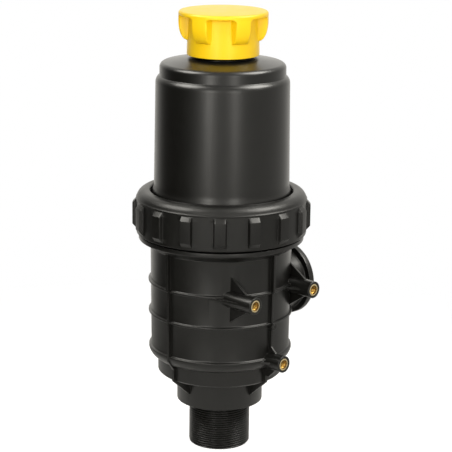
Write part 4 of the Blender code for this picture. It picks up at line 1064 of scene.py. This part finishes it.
def make_floor():
    """A round sheet of white paper that fades into the backdrop and keeps the object's shadow. Its colour is
    darkened outwards from the column, a painted falloff of the light.
    """
    work = bmesh.new()
    bmesh.ops.create_circle(work, cap_ends=True, radius=FLOOR_R, segments=FLOOR_STEPS)
    floor = settled("floor", work)
    floor.location = (AXIS_X, 0, -FLOOR_BELOW)
    material = bpy.data.materials.new("paper")
    material.use_nodes = True
    tree = material.node_tree
    links = tree.links
    tree.nodes.clear()
    coords = tree.nodes.new("ShaderNodeTexCoord").outputs["Object"]
    length = tree.nodes.new("ShaderNodeVectorMath")
    length.operation = "LENGTH"
    links.new(coords, length.inputs[0])
    fade = node(tree, "ShaderNodeMapRange", From_Min=FLOOR_R - FLOOR_FADE,
                From_Max=FLOOR_R - FLOOR_CLEAR_EDGE)
    fade.interpolation_type = "SMOOTHSTEP"
    links.new(length.outputs["Value"], fade.inputs["Value"])
    # Painted light falloff: the paper darkens with distance from the column
    painted_falloff = node(tree, "ShaderNodeMapRange", From_Min=PAINTED_FALLOFF_FROM, From_Max=PAINTED_FALLOFF_TO,
                To_Min=PAINTED_FALLOFF_NEAR, To_Max=PAINTED_FALLOFF_FAR)
    links.new(length.outputs["Value"], painted_falloff.inputs["Value"])
    paper = tree.nodes.new("ShaderNodeBsdfDiffuse")
    links.new(painted_falloff.outputs["Result"], paper.inputs["Color"])
    glow = node(tree, "ShaderNodeEmission", Color=(1, 1, 1, 1))
    rays = tree.nodes.new("ShaderNodeLightPath").outputs
    links.new(between(tree, rays["Is Camera Ray"], 0.0, FLOOR_GLOW), glow.inputs["Strength"])
    lit = tree.nodes.new("ShaderNodeAddShader")
    links.new(paper.outputs["BSDF"], lit.inputs[0])
    links.new(glow.outputs["Emission"], lit.inputs[1])
    clear = tree.nodes.new("ShaderNodeBsdfTransparent")
    mixed = mixed_shader(tree, fade.outputs["Result"], lit.outputs["Shader"], clear.outputs["BSDF"])
    output = tree.nodes.new("ShaderNodeOutputMaterial")
    links.new(mixed, output.inputs["Surface"])
    floor.data.materials.append(material)


# name, angle right of the camera's side, distance, height of the middle, width, height, watts,
# and whether it lights matt colour and whether it shows in gloss
LAMPS = (
    ("strip_left", -22, 2.0, 0.62, 0.38, 1.25, 11.5, True, True),
    ("strip_right", 21, 2.0, 0.62, 0.34, 1.25, 8.0, True, True),
    ("overhead_left", -82, 1.00, 1.50, 0.90, 0.80, 30.0, False, True),
    ("overhead_right", 82, 1.00, 1.50, 0.90, 0.80, 38.0, False, True),
    ("front_fill", 0, 1.6, 0.9, 3.0, 0.8, 13.0, True, False),
    ("top_fill", -10, 0.5, 1.6, 1.0, 1.0, 8.0, True, False),
)
LAMP_TINT = (1.0, 0.975, 0.91)
LAMP_AIM = 0.22


def make_lamps():
    """Lamps that stand round the column, each turned to the same point on it."""
    for name, right, distance, height, width, tall, watts, matt, glossy in LAMPS:
        data = bpy.data.lights.new(name, "AREA")
        data.shape = "RECTANGLE"
        data.size, data.size_y = width, tall
        data.energy = watts
        data.color = LAMP_TINT
        lamp = placed(name, data)
        angle = room_angle(right)
        lamp.location = (AXIS_X + distance * cos(angle), distance * sin(angle), height)
        aim = Vector((AXIS_X, 0, LAMP_AIM)) - Vector(lamp.location)
        lamp.rotation_euler = aim.to_track_quat("-Z", "Y").to_euler()
        lamp.visible_camera = False
        lamp.visible_diffuse = matt
        lamp.visible_glossy = glossy


make_lower_body()
make_inserts()
make_top_cover()
make_ring_nut()
make_knob()
make_filter_mesh()
finish_kept_nodes()
make_camera()
make_world()
make_floor()
make_lamps()
bpy.context.scene.view_settings.view_transform = "Standard"
